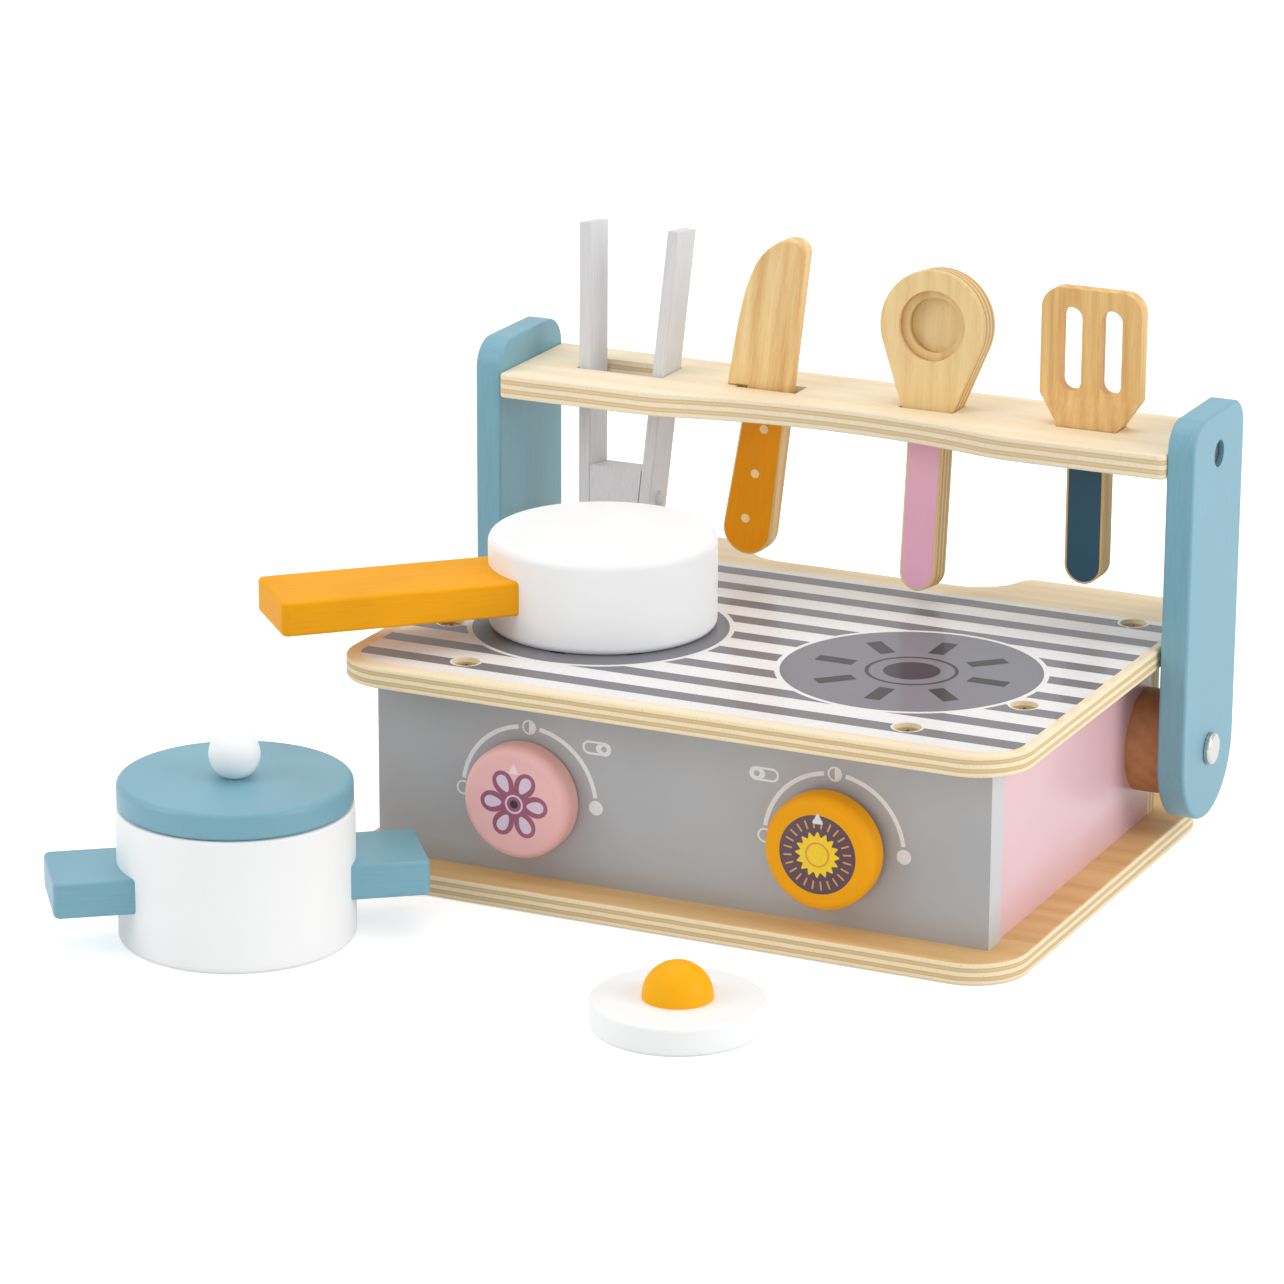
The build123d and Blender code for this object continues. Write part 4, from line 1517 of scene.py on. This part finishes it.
@dataclass(frozen=True)
class Flower:
    """Sizes of the left knob's motif.

    Args:
        notch_radius: distance from the middle to the notches between the petals.
        tip_radius: distance from the middle to the petals' tips.
        fullness: power of the petals' outline; the smaller, the fuller.
        petal_steps: steps along each petal.
    """

    petals: int = 6
    notch_radius: float = 6.6
    tip_radius: float = 14.6
    fullness: float = 0.55
    petal_steps: int = 60
    leaf_reach: float = 9.2
    leaf_length: float = 7.4
    leaf_width: float = 4.6
    ring_radii: Point = (3.9, 3.1)
    heart_radius: float = 1.7

    @property
    def outline(self) -> Loop:
        """Outline of round petals.

        Returns:
            The loop's points.
        """
        count, rise = self.petal_steps * self.petals, self.tip_radius - self.notch_radius
        loop = []
        for k in range(count):
            angle = 2 * pi * k / count
            radius = self.notch_radius + rise * abs(cos(self.petals * angle / 2)) ** self.fullness
            loop.append((radius * cos(angle), radius * sin(angle)))
        return loop

    @property
    def leaves(self) -> list[Loop]:
        """One leaf on each petal.

        Returns:
            One loop for each leaf.
        """
        turns = [360 / self.petals * k for k in range(self.petals)]
        return [leaf(self.leaf_reach, self.leaf_length, self.leaf_width, turn) for turn in turns]


@dataclass(frozen=True)
class Sun:
    """Sizes of the right knob's motif.

    Args:
        disc_radius: radius of the dark disc.
        ray_reach: distance from the middle to the middle of the rays.
        tooth_radii: distance from the middle to the teeth's tips and to the notches.
        tooth_ease: radius of the teeth's corners.
    """

    disc_radius: float = 15.8
    rays: int = 24
    ray_reach: float = 12.4
    ray_length: float = 3.6
    ray_width: float = 0.7
    teeth: int = 16
    tooth_radii: Point = (9.6, 7.0)
    tooth_ease: float = 0.35
    ring_radii: Point = (5.0, 4.3)

    @property
    def ray_loops(self) -> list[Loop]:
        """Thin rays round the sun.

        Returns:
            One loop for each ray.
        """
        loops = []
        for k in range(self.rays):
            way = 2 * pi * (k + 0.5) / self.rays
            middle = (self.ray_reach * cos(way), self.ray_reach * sin(way))
            loops.append(capsule(middle, self.ray_length, self.ray_width, degrees(way)))
        return loops

    @property
    def outline(self) -> Loop:
        """Toothed outline of the sun.

        Returns:
            The loop's points.
        """
        corners = []
        for k in range(2 * self.teeth):
            reach, way = self.tooth_radii[k % 2], pi * k / self.teeth
            corners.append((reach * cos(way), reach * sin(way), self.tooth_ease))
        return rounded(corners, 3)


@dataclass
class Knob(Assembly):
    """Turned knob with a printed motif and its pointer.

    Args:
        side: -1 for the left knob, 1 for the right.
        face_y: place of its front face.
        pointer_foot: distance from the middle to the pointer's foot.
        pointer_ease: radius of the pointer's corners.
    """

    side: int = -1
    face_y: float = -106.7
    centre_x: float = 65.0
    centre_z: float = 41.5
    pointer_width: float = 4.8
    pointer_height: float = 4.6
    pointer_foot: float = 12.4
    pointer_ease: float = 0.4

    @property
    def name(self) -> str:
        """Left or right."""
        return "left" if self.side < 0 else "right"

    @property
    def face(self) -> Place:
        """Front face of the knob, about its centre."""
        return Place((self.side * self.centre_x, self.face_y, self.centre_z), (1, 0, 0), (0, 0, 1))

    def build(self) -> None:
        """Dress the knob and print its face."""
        if self.side < 0:
            paint = Paint("rose_knob_paint", "paint_rose", ROSE, ALONG_X, Gloss.SILK, 0.3, 0.015, 0.015)
            pointer = Ink("rose_pointer_ink", "paint_white", Colour(244, 224, 224), Gloss.LACQUER)
        else:
            paint = Paint("orange_knob_paint", "paint_orange", ORANGE, ALONG_X, Gloss.MATT, 0.3, 0.015, 0.015)
            pointer = Ink("white_pointer_ink", "paint_white", Colour(226, 224, 226), Gloss.LACQUER)
        self.dress(paint, f"{self.name}_knob")
        self.dress(DOWEL_WOOD, f"{self.name}_knob_axle", f"{self.name}_knob_retainer")
        if self.side < 0:
            self.print_flower()
        else:
            self.print_sun()
        foot, half, ease = self.pointer_foot, self.pointer_width / 2, self.pointer_ease
        corners = [(-half, foot, ease), (half, foot, ease), (0.0, foot + self.pointer_height, ease)]
        self.print_on(f"{self.name}_pointer", [rounded(corners, 5)], self.face, pointer, 4)

    def print_flower(self) -> None:
        """Print a plain flower of six petals."""
        flower, middle = Flower(), (0.0, 0.0)
        plum = Ink("plum_ink", "paint_rose", Colour(158, 84, 112), Gloss.LACQUER)
        lilac = Ink("lilac_ink", "paint_white", Colour(222, 204, 220), Gloss.LACQUER)
        black = Ink("black_ink", "paint_grey", Colour(42, 34, 40), Gloss.LACQUER)
        ring = [circle(middle, radius, 48) for radius in flower.ring_radii]
        self.print_on(f"{self.name}_flower", [flower.outline], self.face, plum)
        self.print_on(f"{self.name}_flower_leaves", flower.leaves, self.face, lilac, 2)
        self.print_on(f"{self.name}_flower_ring", ring, self.face, lilac, 2)
        heart = circle(middle, flower.heart_radius, 32)
        self.print_on(f"{self.name}_flower_heart", [heart], self.face, black, 2)

    def print_sun(self) -> None:
        """Print a plain sun on a dark disc."""
        sun, middle = Sun(), (0.0, 0.0)
        night = Ink("dark_plum_ink", "paint_rose", Colour(80, 56, 72), Gloss.LACQUER)
        yellow = Ink("yellow_ink", "paint_orange", Colour(248, 208, 12), Gloss.LACQUER)
        amber = Ink("amber_ink", "paint_orange", Colour(222, 150, 66), Gloss.LACQUER)
        ring = [circle(middle, radius, 64) for radius in sun.ring_radii]
        self.print_on(f"{self.name}_disc", [circle(middle, sun.disc_radius)], self.face, night)
        self.print_on(f"{self.name}_rays", sun.ray_loops, self.face, amber, 2)
        self.print_on(f"{self.name}_sun", [sun.outline], self.face, yellow, 2)
        self.print_on(f"{self.name}_sun_ring", ring, self.face, amber, 3)


@dataclass
class Pan(Assembly):
    """Solid turned pan with its slab handle.

    Args:
        handle_angle: direction that the handle points, in degrees.
    """

    body: str = "pan"
    handle_angle: float = 223.8

    def build(self) -> None:
        """Dress the pan, its handle and its dowel."""
        self.dress(WHITE_PAINT, "pan_body")
        grain = Grain(GrainAxis.X, (0, 0, 180 - self.handle_angle), stretch=26.0)
        paint = Paint("orange_handle_paint", "paint_orange", ORANGE, grain, Gloss.MATT, 0.6, 0.06)
        self.dress(paint, "pan_handle")
        self.dress(DOWEL_WOOD, "pan_dowel")


@dataclass
class Pot(Assembly):
    """Turned pot with two slab handles.

    Args:
        handle_angle: direction of the line through both handles, in degrees.
    """

    body: str = "pot"
    handle_angle: float = 37.0

    def build(self) -> None:
        """Dress the pot, its handles and their dowels."""
        self.dress(WHITE_PAINT, "pot_body")
        grain = Grain(GrainAxis.X, (0, 0, -self.handle_angle), stretch=26.0)
        paint = Paint("blue_handle_paint", "paint_blue", BLUE, grain, Gloss.SATIN, 0.55, 0.05)
        self.dress(paint, "pot_left_handle", "pot_right_handle")
        self.dress(DOWEL_WOOD, "pot_left_dowel", "pot_right_dowel")


@dataclass
class Lid(Assembly):
    """Turned lid with its ball."""

    body: str = "lid"

    def build(self) -> None:
        """Dress the lid, its ball and its dowel."""
        self.dress(BLUE_LID, "pot_lid")
        self.dress(WHITE_PAINT, "lid_ball")
        self.dress(DOWEL_WOOD, "lid_dowel")


@dataclass
class Egg(Assembly):
    """Fried egg."""

    body: str = "egg"

    def build(self) -> None:
        """Dress the white and the yolk."""
        self.dress(WHITE_PAINT, "egg_white")
        yolk = Paint("yolk_paint", "paint_orange", Colour(251, 178, 6), ALONG_Z, Gloss.MATT, 0.3, 0.03)
        self.dress(yolk, "egg_yolk")


@dataclass
class Tongs(Assembly):
    """Tongs: wedge block, two springy legs and their pins.

    Args:
        lean: how far the tongs lean back, in degrees.
        splay: how far each leg spreads outward, in degrees.
    """

    body: str = "tongs"
    lean: float = 7.0
    splay: float = 3.2

    def build(self) -> None:
        """Dress the block, the legs and the pins."""
        self.dress(GREY_TONGS, "tongs_block")
        for side, name in ((-1, "left"), (1, "right")):
            grain = Grain(GrainAxis.Z, (self.lean, -side * self.splay, 0), width=2.0, stretch=30.0)
            paint = Paint(f"grey_{name}_leg_paint", "paint_grey", PALE_GREY, grain, Gloss.CHALK, 0.75, 0.06)
            self.dress(paint, f"tongs_{name}_leg")
            self.dress(GREY_TONGS, f"tongs_{name}_pin")


@dataclass
class Utensil(Assembly):
    """Base of the three one-piece utensils with a painted handle front.

    Args:
        origin: point of the shelf's middle that the utensil passes through.
        front: distance from that point to the handle's front face.
        inset: bare edge left round the paint.
        paint_thickness: thickness of the paint.
        paint_ease: radius of the paint's edges.
    """

    origin: tuple[float, float, float] = (0.0, 0.0, 166.5)
    front: float = 4.0
    inset: float = 0.9
    paint_thickness: float = 0.12
    paint_ease: float = 0.05

    def leaning_face(self, lean: float = 0.0, tilt: float = 0.0) -> Place:
        """Front face of the handle.

        Args:
            lean: how far it leans back, in degrees.
            tilt: how far it tilts to one side, in degrees.

        Returns:
            The face's place.
        """
        across = (cos(radians(tilt)), 0.0, -sin(radians(tilt)))
        up = (sin(radians(tilt)), sin(radians(lean)), cos(radians(tilt)) * cos(radians(lean)))
        return Place(self.origin, across, up).raised(self.front)

    def straight_outline(self, width: float, end: float, top: float) -> Loop:
        """Outline of the paint on a straight handle with a round lower end.

        Args:
            width: width of the handle.
            end: place of its lower end.
            top: place where the paint stops.

        Returns:
            The loop's points.
        """
        half, centre = width / 2 - self.inset, (0.0, end + width / 2)
        return [(-half, top), *arc(centre, half, 180, 360, 32), (half, top)]

    def paint_front(self, name: str, loop: Loop, face: Place, finish: Finish) -> None:
        """Lay a coat of paint on the handle's front.

        Args:
            name: name of the coat.
            loop: its outline.
            face: the handle's front face.
            finish: the paint.
        """
        mesh = curve_mesh(name, [loop], self.paint_thickness, self.paint_ease)
        self.add(name, mesh, face, finish)


@dataclass
class Knife(Utensil):
    """Knife with a bare blade and a dotted orange handle front.

    Args:
        tilt: how far the knife tilts to one side, in degrees.
        half_width: half the width of the handle.
        end_radius: radius of the handle's lower end.
        handle_end: place of the handle's lower end.
        paint_top: place where the paint stops.
        dots: places of the dots.
    """

    body: str = "knife_body"
    origin: tuple[float, float, float] = (-36.5, 71.0, 166.5)
    front: float = 4.25
    tilt: float = 6.5
    half_width: float = 9.1
    end_radius: float = 10.8
    handle_end: float = -66.8
    paint_top: float = 4.0
    dots: tuple[Point, ...] = ((0.6, -12.1), (-1.0, -31.7), (-2.9, -51.6))
    dot_radius: float = 1.9

    def build(self) -> None:
        """Dress the knife and paint its handle."""
        grain = Grain(GrainAxis.Z, (0, -self.tilt, 0), width=4.6, stretch=18.0)
        light, dark = Colour(250, 220, 162), Colour(216, 166, 98)
        wood = Wood("knife_wood", "utensil_wood", light, dark, grain, Gloss.OILED)
        self.dress(wood, "knife")
        face = self.leaning_face(tilt=self.tilt)
        right, radius = self.half_width - self.inset, self.end_radius - self.inset
        centre = (self.half_width - self.end_radius, self.handle_end + self.end_radius)
        loop = [(-right, self.paint_top), *arc(centre, radius, 180, 360, 32), (right, self.paint_top)]
        paint = Paint("orange_knife_paint", "paint_orange", Colour(240, 152, 4), grain, Gloss.MATT, 0.4, 0.03)
        self.paint_front("knife_handle_paint", loop, face, paint)
        dot_ink = Ink("pale_dot_ink", "paint_white", Colour(250, 222, 160), Gloss.CHALK)
        dots = [circle(dot, self.dot_radius, 40) for dot in self.dots]
        self.print_on("knife_dots", dots, face.raised(self.paint_thickness), dot_ink)


@dataclass
class Spoon(Utensil):
    """Laminated spoon with a stepped bowl and a pink handle front.

    Args:
        lean: how far the spoon leans back, in degrees.
        handle_width: width of the handle.
        handle_end: place of the handle's lower end.
        paint_top: place where the paint stops.
    """

    body: str = "spoon_body"
    origin: tuple[float, float, float] = (34.9, 71.2, 166.5)
    front: float = 6.25
    lean: float = 6.2
    handle_width: float = 15.4
    handle_end: float = -70.2
    paint_top: float = -5.5

    def build(self) -> None:
        """Dress the spoon and paint its handle."""
        grain = Grain(GrainAxis.Z, (self.lean, 0, 0), width=4.2, stretch=14.0)
        back = (0.0, cos(radians(self.lean)), -sin(radians(self.lean)))
        level = Vector(self.origin).dot(Vector(back)) - self.front
        wood = Plywood(
            "spoon_wood", "utensil_wood", Colour(248, 222, 164), Colour(222, 182, 118), grain,
            Gloss.OILED, 0.8, axis=back, level=level, thickness=2 * self.front, plies=7,
            edge_light=Colour(230, 200, 142), edge_dark=Colour(202, 160, 100),
        )
        self.dress(wood, "spoon")
        loop = self.straight_outline(self.handle_width, self.handle_end, self.paint_top)
        pink = Colour(242, 182, 205)
        paint = Paint("pink_spoon_paint", "paint_pink", pink, grain, Gloss.CHALK, 0.4, 0.03, 0.02)
        self.paint_front("spoon_handle_paint", loop, self.leaning_face(lean=self.lean), paint)


@dataclass
class Spatula(Utensil):
    """Slotted spatula with a dark blue handle front.

    Args:
        handle_width: width of the handle.
        handle_end: place of the handle's lower end.
        paint_top: place where the paint stops.
    """

    body: str = "spatula_body"
    origin: tuple[float, float, float] = (103.8, 70.5, 166.5)
    front: float = 5.15
    handle_width: float = 15.7
    handle_end: float = -59.2
    paint_top: float = -5.5

    def build(self) -> None:
        """Dress the spatula and paint its handle."""
        grain = Grain(GrainAxis.Z, width=3.4, stretch=24.0)
        light, dark = Colour(244, 204, 138), Colour(210, 158, 90)
        wood = Wood("spatula_wood", "utensil_wood", light, dark, grain, Gloss.OILED)
        self.dress(wood, "spatula")
        loop = self.straight_outline(self.handle_width, self.handle_end, self.paint_top)
        paint = Paint("blue_spatula_paint", "paint_blue", Colour(30, 78, 102), grain, Gloss.CHALK, 0.4, 0.03)
        self.paint_front("spatula_handle_paint", loop, self.leaning_face(), paint)


# Studio


@dataclass(frozen=True)
class Softbox:
    """Square soft lamp.

    Args:
        name: name of the lamp.
        place: where it hangs, in metres.
        size: length of its side in metres.
        power: power in watts.
    """

    name: str
    place: tuple[float, float, float]
    size: float
    power: float

    def hang(self, target: Vector) -> None:
        """Make the lamp.

        Args:
            target: point that it faces, in metres.
        """
        data = bpy.data.lights.new(self.name, "AREA")
        data.shape = "SQUARE"
        data.size = self.size
        data.energy = self.power
        lamp = bpy.data.objects.new(self.name, data)
        lamp.location = self.place
        lamp.rotation_euler = (target - Vector(self.place)).to_track_quat("-Z", "Y").to_euler()
        bpy.context.scene.collection.objects.link(lamp)


@dataclass
class Studio:
    """Floor, light and camera.

    Args:
        camera_place: camera's centre in millimetres.
        azimuth: how far the camera stands to the right of the front, in degrees.
        elevation: how far it looks down, in degrees.
        roll: turn about its own axis, in degrees.
        focal_length: focal length in millimetres.
        sensor: width of the sensor in millimetres.
        world_light: strength of the even light from all round.
        world_colour: colour of that light.
        floor_size: length of the floor's side in metres.
        floor_drop: gap between the toy and the floor in metres.
        floor_tone: share of light that the floor gives back.
        floor_glow: light that only the camera and reflections see in the floor.
        floor_roughness: roughness of the floor.
        floor_specular: specular level of the floor.
        view_end: how far the camera sees, in metres.
        lamps: the soft lamps.
        lamp_target: point that they face, in metres.
    """

    camera_place: tuple[float, float, float] = (829.1, -1876.0, 724.6)
    azimuth: float = 25.3721
    elevation: float = 17.2816
    roll: float = 0.21683
    focal_length: float = 150.59
    sensor: float = 36.0
    world_light: float = 0.6
    world_colour: tuple[float, float, float, float] = (1.0, 0.995, 0.985, 1.0)
    floor_size: float = 6.0
    floor_drop: float = 0.0002
    floor_tone: float = 0.86
    floor_glow: float = 0.5
    floor_roughness: float = 0.9
    floor_specular: float = 0.1
    view_end: float = 20.0
    lamps: tuple[Softbox, ...] = (
        Softbox("top_softbox", (-0.2, 0.3, 1.9), 1.6, 10.8),
        Softbox("left_softbox", (-1.5, -1.3, 1.2), 1.2, 11.0),
        Softbox("right_softbox", (1.9, -0.1, 0.9), 1.2, 14.5),
    )
    lamp_target: tuple[float, float, float] = (0.0, 0.0, 0.08)

    def build(self) -> None:
        """Make the world, the floor, the lamps and the camera."""
        bpy.context.scene.view_settings.view_transform = "Standard"
        self.make_world()
        self.make_floor()
        for lamp in self.lamps:
            lamp.hang(Vector(self.lamp_target))
        self.make_camera()

    def seen(self, tree: bpy.types.NodeTree) -> bpy.types.NodeSocket:
        """Whether a ray is seen, rather than light on the toy.

        Args:
            tree: node tree to add to.

        Returns:
            The socket: 1 for rays from the camera, in reflections and through glass, and 0 for the rest.
        """
        path = tree.nodes.new("ShaderNodeLightPath")
        total = path.outputs["Is Camera Ray"]
        for name in ("Is Glossy Ray", "Is Transmission Ray"):
            joined = tree.nodes.new("ShaderNodeMath")
            joined.operation = "MAXIMUM"
            tree.links.new(total, joined.inputs[0])
            tree.links.new(path.outputs[name], joined.inputs[1])
            total = joined.outputs[0]
        return total

    def make_world(self) -> None:
        """White surroundings that light the object softly."""
        world = bpy.data.worlds.new("studio_white")
        world.use_nodes = True
        tree = world.node_tree
        lit = tree.nodes["Background"]
        lit.inputs["Color"].default_value = self.world_colour
        lit.inputs["Strength"].default_value = self.world_light
        shown = tree.nodes.new("ShaderNodeBackground")
        shown.inputs["Color"].default_value = (1.0, 1.0, 1.0, 1.0)
        shown.inputs["Strength"].default_value = 1.0
        mix = tree.nodes.new("ShaderNodeMixShader")
        tree.links.new(self.seen(tree), mix.inputs[0])
        tree.links.new(lit.outputs[0], mix.inputs[1])
        tree.links.new(shown.outputs[0], mix.inputs[2])
        tree.links.new(mix.outputs[0], tree.nodes["World Output"].inputs["Surface"])
        bpy.context.scene.world = world

    def make_floor(self) -> None:
        """Plain pale floor that keeps the object's shadow."""
        mesh = bpy.data.meshes.new("floor")
        half = self.floor_size / 2
        corners = [(-half, -half, 0), (half, -half, 0), (half, half, 0), (-half, half, 0)]
        mesh.from_pydata(corners, [], [(0, 1, 2, 3)])
        material = bpy.data.materials.new("floor_white")
        material.use_nodes = True
        tree = material.node_tree
        shader = tree.nodes["Principled BSDF"]
        shader.inputs["Base Color"].default_value = (*(self.floor_tone,) * 3, 1.0)
        shader.inputs["Roughness"].default_value = self.floor_roughness
        shader.inputs["Specular IOR Level"].default_value = self.floor_specular
        glow = tree.nodes.new("ShaderNodeEmission")
        tree.links.new(self.seen(tree), glow.inputs["Strength"])
        glow.inputs["Color"].default_value = (*(self.floor_glow,) * 3, 1.0)
        both = tree.nodes.new("ShaderNodeAddShader")
        tree.links.new(shader.outputs[0], both.inputs[0])
        tree.links.new(glow.outputs[0], both.inputs[1])
        tree.links.new(both.outputs[0], tree.nodes["Material Output"].inputs["Surface"])
        mesh.materials.append(material)
        floor = bpy.data.objects.new("floor", mesh)
        floor.location.z = -self.floor_drop
        bpy.context.scene.collection.objects.link(floor)

    def make_camera(self) -> None:
        """Camera at the photograph's angle."""
        a, e, r = radians(self.azimuth), radians(self.elevation), radians(self.roll)
        forward = Vector((-sin(a) * cos(e), cos(a) * cos(e), -sin(e)))
        level = Vector((cos(a), sin(a), 0.0))
        above = level.cross(forward)
        right = cos(r) * level + sin(r) * above
        up = -sin(r) * level + cos(r) * above
        data = bpy.data.cameras.new("camera")
        data.sensor_width = self.sensor
        data.sensor_fit = "HORIZONTAL"
        data.lens = self.focal_length
        data.clip_end = self.view_end
        camera = bpy.data.objects.new("camera", data)
        turn = Matrix((right, up, -forward)).transposed().to_4x4()
        camera.matrix_world = Matrix.Translation(Vector(self.camera_place) * MM) @ turn
        bpy.context.scene.collection.objects.link(camera)
        bpy.context.scene.camera = camera


def main() -> None:
    """Build and dress the toy, group by group, and set up the studio."""
    logging.basicConfig(level=logging.INFO, format="%(name)s: %(message)s")
    groups = [
        Plates(),
        Panels(),
        Screws(),
        Frame(),
        Knob("left_knob_body", -1, -106.7),
        Knob("right_knob_body", 1, -108.7),
        Pan(),
        Pot(),
        Lid(),
        Egg(),
        Tongs(),
        Knife(),
        Spoon(),
        Spatula(),
    ]
    for group in groups:
        group.build()
    Studio().build()


if __name__ == "__main__":
    main()
